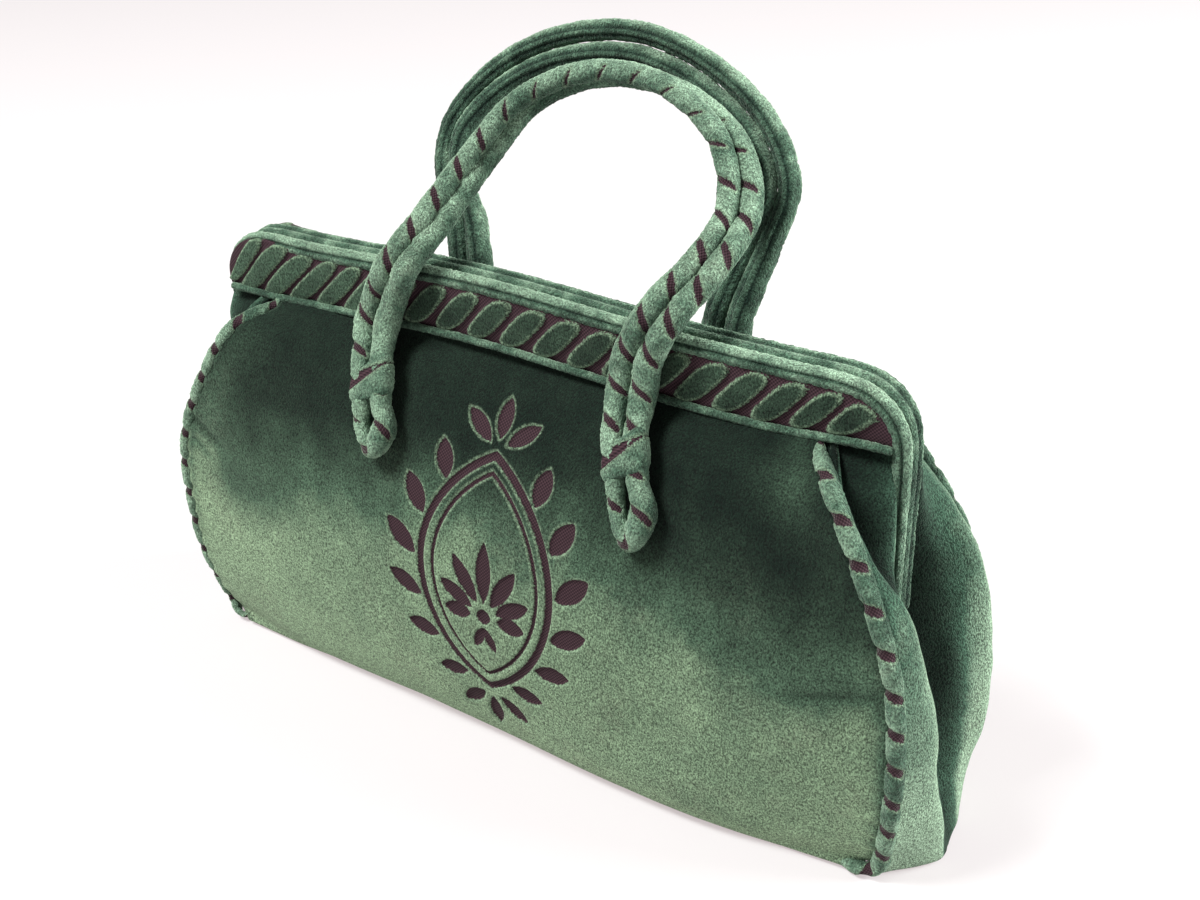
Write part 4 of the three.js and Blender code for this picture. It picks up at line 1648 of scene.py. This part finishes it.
@dataclass
class FrameHalf:
    """One half of the frame: its padded roll, the leaf strip inside it and the edging below, in metres.

    Attributes:
        roll_seams: angles of the roll's sewn seams from the way it faces, towards the outside, in radians.
        left_cover: how far the strip runs out past the roll at its left end, less left_cut.
        left_proud: how far it stands out there.
        leaf_height: shares of the strip's half height that a leaf takes above and below its middle.
        leaf_powers: powers of a leaf's rounded shape across, upwards and together.
        leaf_slope: how fast the depth inside a leaf grows, as a share of the strip's height.
        first_inset: the share of a leaf's width that the first leaf keeps from the left end.
        last_leaf: number of the last leaf on the right, from the middle.
        last_reach: how much longer that leaf is on its right side.
        left_reach: distances left of the middle between which the leaves lean and grow.
        left_squeeze: distances left of the middle between which they move closer, and by how much.
        left_light: distances left of the middle between which they turn lighter, and by how much.
        leaf_nap: how the leaves' pile is brushed, how much that varies and over what distance.
    """

    facing: Facing
    roll_centre: float
    roll_depth: float
    roll_seams: tuple[float, ...]
    roll_radius: float = 3.1 * MM
    roll_top: float = 173 * MM
    seam_depth: float = 1.3 * MM
    arm_x: float = 138 * MM
    arm_foot: float = 88 * MM
    corner: float = 19 * MM
    corner_stops: int = 5
    mouth_stops: int = 13
    strip_bottom: float = 154 * MM
    end_lift: float = 3.4 * MM
    lift_reach: Span = (85 * MM, 136 * MM)
    strip_rows: int = 29
    strip_tuck: float = 2.0 * MM
    strip_wall: float = 3.6 * MM
    strip_recess: float = 0.2 * MM
    strip_swell: float = 0.5 * MM
    ground_drop: float = 0.9 * MM
    cover_reach: float = 25 * MM
    left_cover: float = 1.6 * MM
    left_cut: float = 1.0 * MM
    left_proud: float = 1.4 * MM
    least_height: float = 0.5 * MM
    least_seen: float = 1.5 * MM
    leaf_pitch: float = 14.0 * MM
    leaf_width: float = 10.8 * MM
    leaf_lean: float = 6.2 * MM
    leaf_height: Span = (1.12, 1.3)
    leaf_powers: Point = (2.3, 3.4, 2.5)
    leaf_slope: float = 0.3
    leaf_pile: float = 1.0 * MM
    leaf_tufts: Span = (0.1 * MM, 1.5 * MM)
    leaf_edge: Span = (-0.4 * MM, 0.5 * MM)
    first_inset: float = 0.45
    last_leaf: int = 9
    last_reach: float = 1.6
    left_reach: Span = (30 * MM, 120 * MM)
    left_squeeze: Point = (30 * MM, 110 * MM, 0.14)
    left_lean: float = 0.5
    left_wide: float = 0.1
    left_tall: float = 0.22
    leaf_nap: Point = (0.18, 0.12, 7 * MM)
    left_light: Point = (40 * MM, 120 * MM, 0.24)
    edging_radius: float = 1.4 * MM
    edging_half: float = 136.5 * MM
    edging_left: float = 138.0 * MM
    edging_drop: float = 1.7 * MM
    edging_stops: int = 25

    @property
    def corner_x(self) -> float:
        """Where the mouth's corners start, as a distance from the middle."""
        return self.arm_x - self.corner

    def _node(self, kind: str) -> str:
        """The name of one of this half's solids."""
        return f"{self.facing.label}_{kind}"

    def _bottom(self, x: Array) -> Array:
        """The height of the strip's lower edge at each x; it rises towards the right end."""
        return self.strip_bottom + MOUTH.lift(x) + self.end_lift * smooth_step(*self.lift_reach, x)

    def _over(self, x: Array) -> Array:
        """Where the strip lies over the roll, at its left end."""
        return smooth_step(self.corner_x - self.cover_reach, self.corner_x, -x)

    def _roll_stops(self) -> Array:
        """Lays out the roll's route: up one arm, round a corner, along the mouth and down the other arm.

        Returns:
            The route's stops, in metres.
        """
        shoulder = self.roll_top - self.corner
        turn = np.linspace(0, np.pi / 2, self.corner_stops)
        bend = layered(self.corner_x + self.corner * np.cos(turn), shoulder + self.corner * np.sin(turn))
        arm = [(self.arm_x, self.arm_foot), (self.arm_x, (self.arm_foot + shoulder) / 2)]
        half = np.vstack([arm, bend])
        mouth_x = np.linspace(half[-1, 0], -half[-1, 0], self.mouth_stops)[1:-1]
        mouth = layered(mouth_x, self.roll_top + MOUTH.lift(mouth_x))
        flat = np.vstack([half, mouth, (half * (-1, 1))[::-1]])
        return layered(flat[:, 0], self.roll_centre, flat[:, 1])

    def roll(self, velvet: Velvet) -> Piece:
        """Builds the padded roll and dresses it.

        Args:
            velvet: the roll's velvet.

        Returns:
            The roll.
        """
        seams = tuple(-self.facing.value * seam for seam in self.roll_seams)
        sides, step, nap = (44, 0.7 * MM, 0.54) if self.facing is Facing.FRONT else (40, 0.85 * MM, 0.42)
        # Painted light on top of the roll and painted shade in its seams.
        cord = VelvetCord(sides, step, seams=seams, seam_depth=self.seam_depth, tuft=0.34 * MM, nap=nap,
                          top_light=0.28)
        flatten = self.roll_depth / self.roll_radius
        ends = partial(rounded_ends, radius=self.roll_radius, reach=self.roll_radius)
        cloth = cord.grid(self._roll_stops(), self.facing.way, ends, flatten)
        return velvet.padded(cloth, self._node("roll"))

    def _leaf_depth(self, run: Array, share: Array, height: Array) -> Array:
        """Measures how deep places on the strip lie inside a pile leaf.

        Args:
            run: places along the strip, stretched where it is low so that its leaves shrink there.
            share: places up the strip, from 0 to 1.
            height: the strip's height at each place, in metres.

        Returns:
            Distance from the leaf's edge, above zero inside it.
        """
        up = 2 * share - 1
        left = smooth_step(*self.left_reach, -run)
        slid = run - self.leaf_lean * (1 + self.left_lean * left) * up
        first_leaf = np.ceil((run.min() + self.first_inset * self.leaf_width) / self.leaf_pitch)
        count = np.clip(np.round(slid / self.leaf_pitch), first_leaf, self.last_leaf)
        away = slid - self.leaf_pitch * count
        reach = np.where((count == self.last_leaf) & (away > 0), self.last_reach, 1)
        near = np.abs(away) / (self.leaf_width / 2 * reach * (1 + self.left_wide * left))
        rise = np.abs(up) / (np.where(up > 0, *self.leaf_height) + self.left_tall * left)
        across, upwards, together = self.leaf_powers
        oval = (near**across + rise**upwards) ** (1 / together)
        return (1 - oval) * self.leaf_slope * height

    def _strip_grid(self) -> ClothGrid:
        """Lays the strip's outer face out as a grid.

        Returns:
            The face, with its leaves.
        """
        inner = self.corner - self.roll_radius + self.strip_tuck
        outer = self.corner + self.left_cover
        columns = 481 if self.facing is Facing.FRONT else 281
        x = np.linspace(self.left_cut - self.corner_x - outer, self.corner_x + inner, columns)[None, :]
        over = self._over(x)
        radius = inner + (outer - inner) * over
        past = np.maximum(np.abs(x) - self.corner_x, 0)
        top = self.roll_top - self.corner + np.sqrt(np.maximum(radius**2 - past**2, 0)) + MOUTH.lift(x)
        low = np.minimum(self._bottom(x) - self.edging_radius, top - self.least_height)
        share = np.linspace(0, 1, self.strip_rows)[:, None]
        z = low + (top - low) * share
        hidden = 2 * self.edging_radius
        seen = np.maximum(top - low - hidden - self.strip_tuck, self.least_seen)
        start, full, squeeze = self.left_squeeze
        stretch = np.maximum(np.median(seen) / seen, 1) * (1 + squeeze * smooth_step(start, full, -x))
        run = np.cumsum(np.gradient(x, axis=1) * stretch, axis=1)
        leaf = self._leaf_depth(run - np.interp(0, x[0], run[0]), (z - low - hidden) / seen, seen)
        face = self.roll_depth - self.strip_recess + self.left_proud * over
        points = layered(x, self.roll_centre + self.facing.value * face, z)
        height, size = self.leaf_tufts
        pile = (self.leaf_pile + height * tufts(points, size)) * smooth_step(*self.leaf_edge, leaf)
        lift = self.strip_swell * (1 - (2 * share - 1) ** 2) + pile
        points[..., 1] += self.facing.value * (lift - self.ground_drop)
        nap, swing, size = self.leaf_nap
        start, full, lighter = self.left_light
        nap = nap + swing * tufts(points, size) + lighter * smooth_step(start, full, -x)
        return ClothGrid(points, layered(x, z), -leaf, nap)

    def strip(self, velvet: Velvet) -> Piece:
        """Builds the leaf strip, dresses it and returns it."""
        cloth, node, way = self._strip_grid(), self._node("strip"), self.facing.way
        return velvet.sheet(cloth, node, way, self.strip_wall)

    def edging(self, velvet: Velvet) -> Piece:
        """Builds the thin edging cord below the strip and dresses it.

        Args:
            velvet: the edging's velvet.

        Returns:
            The edging.
        """
        x = np.linspace(-self.edging_left, self.edging_half, self.edging_stops)
        y = self.roll_centre + self.facing.value * (self.roll_depth + self.left_proud * self._over(x))
        stops = layered(x, y, self._bottom(x) - self.edging_drop)
        # Painted light on top of the edging.
        cord = VelvetCord(20, 0.7 * MM, tuft=0.25 * MM, nap=0.38, top_light=0.15)
        ends = partial(rounded_ends, radius=self.edging_radius, reach=self.edging_radius)
        node = self._node("edging")
        return velvet.dress(cord.grid(stops, self.facing.way, ends).build(f"{node}_velvet"), node)


@dataclass
class Handle:
    """One handle: an endless velvet cord laid double, with a sleeve on each leg, in metres.

    Attributes:
        strand: the stops from the left end loop to the right one, in millimetres.
        left_bight: the lowest point of the left end loop, in millimetres, as for the right one.
        seam_angle: half the angle between the cord's two seams, on its back.
        loop_lean: how much fuller an end loop's right strand is, and how much slimmer the loop is.
        sleeve_slope: how far a sleeve lies aslant, for each metre across.
        sleeve_flare: how much longer it is at its right side than in its middle.
        sleeve_flat: how much flatter than round it is over the gap between the strands.
        stripe: half the width of its bare stripe in the middle, and its change to the right side.
        stripe_place: the stripe's place along the sleeve, from -1 to 1.
        cord_turn: how far the way that the cord's dashes face is turned along X and along Z.
    """

    facing: Facing
    strand: tuple[Stop, ...]
    left_bight: Point
    right_bight: Point
    sides: int
    step: float
    dashes: Dashes = Dashes(13.2 * MM, 3.0 * MM, math.radians(68), -0.6, 0.09)
    seam_angle: float = 0.42
    cord_turn: Span = (0.1, -0.1)
    loop_middles: Span = (-49 * MM, 59 * MM)
    loop_heights: Span = (124 * MM, 134 * MM)
    loop_lean: Span = (0.22, 0.1)
    loop_turn: float = 3 * MM
    sleeve_length: float = 12.5 * MM
    sleeve_puff: float = 1.0 * MM
    sleeve_tuck: float = 1.0 * MM
    sleeve_slope: float = 0.36
    sleeve_flare: float = 0.25
    sleeve_flat: float = 1.5
    stripe: Span = (1.8 * MM, -1.5 * MM)
    stripe_place: float = 0.42
    stripe_depth: float = 0.4 * MM
    stripe_edge: float = 0.4 * MM
    sleeve_points: tuple[int, int] = (97, 45)
    sleeve_tufts: Span = (0.3 * MM, 1.2 * MM)
    sleeve_mottle: Span = (0.2, 5 * MM)
    sleeve_shade: float = 0.3
    nap: float = 0.66

    def _radius(self, route: Array) -> Array:
        """Gives the strand's radius by its height; in an end loop the right strand is the fuller one.

        Args:
            route: points along the strand, in metres.

        Returns:
            One radius for each point.
        """
        x, z = route[:, 0], route[:, 2]
        radii = np.interp(z, np.array(STRAND_HEIGHTS) * MM, np.array(STRAND_RADII) * MM)
        middle = np.where(x < 0, *self.loop_middles)
        loop = 1 - smooth_step(*self.loop_heights, z)
        fuller, slimmer = self.loop_lean
        return radii * (1 + loop * (fuller * np.tanh((x - middle) / self.loop_turn) - slimmer))

    def _stops(self) -> Array:
        """Lays out the endless route: along one strand, round an end loop and back along its mate.

        Returns:
            The route's stops, in metres.
        """
        out = np.array([(stop.x, stop.y, stop.z) for stop in self.strand], float)
        back = out + np.array([stop.mate for stop in self.strand], float)
        return np.vstack([out, self.right_bight, back[::-1], self.left_bight]) * MM

    def cord(self, velvet: Velvet) -> Piece:
        """Builds the doubled cord and dresses it.

        Args:
            velvet: the cord's velvet.

        Returns:
            The cord.
        """
        seams = (math.pi - self.seam_angle, math.pi + self.seam_angle)
        # Painted light on top of the strands, painted shade down their sides and in their seams.
        cord = VelvetCord(self.sides, self.step, self.dashes, seams=seams, tuft=0.32 * MM, tuft_size=1.1 * MM,
                          nap=self.nap, plain=(0.74, 0.955), thin=0.85 * MM, top_light=0.24, side_shade=0.15)
        along_x, along_z = self.cord_turn
        way = np.array((along_x, self.facing.value, along_z))
        cloth = cord.grid(self._stops(), way, self._radius, closed=True)
        return velvet.padded(cloth, f"{self.facing.label}_handle")

    def _sleeve_grid(self, low: Stop, high: Stop) -> ClothGrid:
        """Lays the skin of a sleeve out as a grid round both strands of a leg.

        Args:
            low: the strand's stop below the sleeve.
            high: its stop above the sleeve.

        Returns:
            The skin, with its bare stripe.
        """
        start, end = (np.array((stop.x, stop.y, stop.z)) * MM for stop in (low, high))
        axis, span = unit(end - start), np.array(low.mate) * MM
        width = square_to(span, axis)
        half_span = span @ width / 2
        depth = np.cross(axis, width)
        middle = (start + end + span) / 2
        inner = self._radius(middle[None])[0] - self.sleeve_tuck
        sides, rings = self.sleeve_points
        angle, along = np.linspace(-np.pi, np.pi, sides)[None, :], np.linspace(-1, 1, rings)[:, None]
        outer = inner + (self.sleeve_puff + self.sleeve_tuck) * np.sqrt(np.maximum(1 - along**2, 0))
        wide = half_span * np.clip(self.sleeve_flat * np.cos(angle), -1, 1) + outer * np.cos(angle)
        deep = outer * np.sin(angle)
        share = wide / (half_span + inner + self.sleeve_puff)
        half = self.sleeve_length / 2
        place = half * along * (1 + self.sleeve_flare * share) + self.sleeve_slope * wide
        stripe = self.stripe[0] + self.stripe[1] * share - np.abs(along - self.stripe_place) * half
        out = width * wide[..., None] + depth * deep[..., None]
        points = middle + axis * place[..., None] + out
        sunk = self.stripe_depth * smooth_step(-self.stripe_edge, self.stripe_edge, stripe)
        height, size = self.sleeve_tufts
        pile = (height * tufts(points, size) - sunk) * (1 - along**4)
        points = points + unit(out) * pile[..., None]
        points[:, -1] = points[:, 0]
        swing, size = self.sleeve_mottle
        nap = self.nap + swing * tufts(points, size) - self.sleeve_shade * along**4
        return ClothGrid(points, layered(angle * outer, place), stripe, nap)

    def sleeve(self, side: Side, velvet: Velvet) -> Piece:
        """Builds the sleeve that binds both strands of a leg, and dresses it.

        Args:
            side: the leg's end of the bag.
            velvet: the sleeve's velvet.

        Returns:
            The sleeve.
        """
        low, high = self.strand[1:3] if side is Side.LEFT else (self.strand[-2], self.strand[-3])
        node = f"{self.facing.label}_{side.label}_sleeve"
        return velvet.dress(self._sleeve_grid(low, high).build(f"{node}_wrap"), node)


@dataclass(frozen=True)
class PhotoCamera:
    """The camera, placed by the angles in degrees that it looks from and its target in metres."""

    azimuth: float = 33.54
    elevation: float = 31.14
    roll: float = -2.46
    distance: float = 514.53 * MM
    target: Point = (32.79 * MM, -13.24 * MM, 128.55 * MM)
    focal_pixels: float = 1501.6
    image_width: int = 1200
    sensor: float = 36.0

    def build(self) -> Piece:
        """Builds the camera and makes it the scene's own.

        Returns:
            The camera.
        """
        azimuth, elevation, roll = (math.radians(a) for a in (self.azimuth, self.elevation, self.roll))
        level_back = Vector((math.sin(azimuth), -math.cos(azimuth), 0)) * math.cos(elevation)
        back = level_back + Vector((0, 0, math.sin(elevation)))
        level = Vector((0, 0, 1)).cross(back).normalized()
        upright = back.cross(level)
        right = level * math.cos(roll) + upright * math.sin(roll)
        up = upright * math.cos(roll) - level * math.sin(roll)
        data = bpy.data.cameras.new("photo_camera")
        data.sensor_width = self.sensor
        data.lens = self.focal_pixels * self.sensor / self.image_width
        camera = bpy.data.objects.new("photo_camera", data)
        place = Matrix((right, up, back)).transposed().to_4x4()
        place.translation = Vector(self.target) + back * self.distance
        camera.matrix_world = place
        bpy.context.scene.collection.objects.link(camera)
        bpy.context.scene.camera = camera
        return camera


@dataclass(frozen=True)
class Softbox:
    """One soft studio light, with its place, target and size in metres and its power in watts."""

    name: str
    place: Point
    size: float
    power: float
    target: Point = (0.0, 0.0, 0.1)

    def build(self) -> Piece:
        """Builds the light and turns it to its target.

        Returns:
            The light.
        """
        data = bpy.data.lights.new(self.name, "AREA")
        data.size = self.size
        data.energy = self.power
        light = bpy.data.objects.new(self.name, data)
        light.location = self.place
        light.rotation_euler = (Vector(self.target) - Vector(self.place)).to_track_quat("-Z", "Y").to_euler()
        bpy.context.scene.collection.objects.link(light)
        return light


@dataclass(frozen=True)
class Studio:
    """The pale floor, the soft light and the even white surroundings."""

    floor_half: float = 4.0
    floor_colour: Colour = (0.30, 0.315, 0.31)
    floor_glow: Colour = (0.54, 0.475, 0.485)
    floor_roughness: float = 0.9
    world_strength: float = 0.28
    lights: tuple[Softbox, ...] = (
        Softbox("key_light", (-0.7, -0.8, 1.8), 0.6, 62.0),
        Softbox("rim_light", (1.3, 0.7, 0.8), 0.9, 50.0),
    )

    def _surround(self) -> None:
        """Makes the white surroundings."""
        world = bpy.data.worlds.new("studio")
        world.use_nodes = True
        surround = world.node_tree.nodes["Background"]
        surround.inputs["Color"].default_value = (1, 1, 1, 1)
        surround.inputs["Strength"].default_value = self.world_strength
        bpy.context.scene.world = world

    def _paper(self) -> bpy.types.Material:
        """Makes the floor's paper.

        Returns:
            The paper's material.
        """
        paper = bpy.data.materials.new("floor_paper")
        paper.use_nodes = True
        shader = paper.node_tree.nodes["Principled BSDF"]
        shader.inputs["Base Color"].default_value = (*self.floor_colour, 1)
        shader.inputs["Roughness"].default_value = self.floor_roughness
        shader.inputs["Emission Color"].default_value = (*self.floor_glow, 1)
        shader.inputs["Emission Strength"].default_value = 1
        return paper

    def build(self) -> Piece:
        """Builds the studio.

        Returns:
            The floor.
        """
        bpy.context.scene.view_settings.view_transform = "Standard"
        self._surround()
        for light in self.lights:
            light.build()
        shape = bmesh.new()
        bmesh.ops.create_grid(shape, x_segments=8, y_segments=8, size=self.floor_half)
        mesh = bpy.data.meshes.new("floor")
        shape.to_mesh(mesh)
        shape.free()
        mesh.materials.append(self._paper())
        floor = bpy.data.objects.new("floor", mesh)
        bpy.context.scene.collection.objects.link(floor)
        return floor


@dataclass
class Handbag:
    """The whole bag: its walls, piping, frame and handles, and the velvets that dress them."""

    panel_finish: VelvetFinish = VelvetFinish("panel_velvet", Slot.PANEL)
    gusset_finish: VelvetFinish = VelvetFinish(
        "gusset_velvet", Slot.PANEL, middle=(0.052, 0.110, 0.072), light=(0.245, 0.355, 0.245),
        edge_glow=0.35)
    trim_finish: VelvetFinish = VelvetFinish(
        "trim_velvet", Slot.TRIM, (0.010, 0.026, 0.018), (0.076, 0.146, 0.096), (0.300, 0.450, 0.312),
        grain=0.64, grain_size=0.64 * MM, drift=0.45, sheen=0.2, relief=0.9 * MM, fuzz=0.3, edge_glow=0.35)
    leaf_finish: VelvetFinish = VelvetFinish("leaf_velvet", Slot.LEAF, rim_share=0.65, fuzz=0.32)
    motif: PanelMotif = PanelMotif()
    motif_reach: float = 0.31
    motif_columns: int = 155
    side_columns: int = 44
    front_rows: int = 196
    back_columns: int = 141
    back_rows: int = 90

    def panels(self) -> tuple[Panel, Panel]:
        """Lays out both panels; the front one has fine columns under its motif.

        Returns:
            The front panel and the back one.
        """
        near = self.motif_reach
        left, right = (np.linspace(*ends, self.side_columns) for ends in ((-1, -near), (near, 1)))
        fine = np.concatenate([left[:-1], np.linspace(-near, near, self.motif_columns), right[1:]])
        even = np.linspace(-1, 1, self.back_columns)
        return (Panel(Facing.FRONT, fine, self.front_rows, self.motif),
                Panel(Facing.BACK, even, self.back_rows))

    @staticmethod
    def frame() -> tuple[FrameHalf, FrameHalf]:
        """Lays out the frame's two halves."""
        return (FrameHalf(Facing.FRONT, -5.5 * MM, 3.1 * MM, (0.35,)),
                FrameHalf(Facing.BACK, 3.0 * MM, 4.8 * MM, (1.75, 0.9)))

    @staticmethod
    def handles() -> tuple[Handle, Handle]:
        """Lays out the two handles."""
        return (Handle(Facing.FRONT, FRONT_STRAND, (-49.5, -38.2, 118.5), (59, -38.7, 115), 48, 0.55 * MM),
                Handle(Facing.BACK, BACK_STRAND, (-47, 38.2, 117), (61.5, 38.0, 117), 34, 0.75 * MM))

    def build(self) -> list[Piece]:
        """Builds every piece of the bag.

        Returns:
            The pieces.
        """
        effects = SharedEffects()
        finishes = (self.panel_finish, self.gusset_finish, self.trim_finish, self.leaf_finish)
        panel, gusset, trim, leaf = (finish.velvet(effects) for finish in finishes)
        pieces = [Base().build(panel)]
        pieces += [Gusset(side).build(gusset) for side in Side]
        pieces += [wall.build(panel) for wall in self.panels()]
        pieces += [Piping(facing).build(trim) for facing in Facing]
        for half in self.frame():
            pieces += [half.roll(trim), half.strip(leaf), half.edging(trim)]
        for handle in self.handles():
            pieces.append(handle.cord(trim))
            pieces += [handle.sleeve(side, trim) for side in Side]
        return pieces


def main() -> None:
    """Builds the camera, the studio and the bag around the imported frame."""
    logging.basicConfig(level=logging.INFO, format="%(name)s: %(message)s")
    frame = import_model()
    LOG.info("frame: %d solids", len(frame["nodes"]))
    PhotoCamera().build()
    Studio().build()
    pieces = Handbag().build()
    LOG.info("bag: %d pieces", len(pieces))


if __name__ == "__main__":
    main()
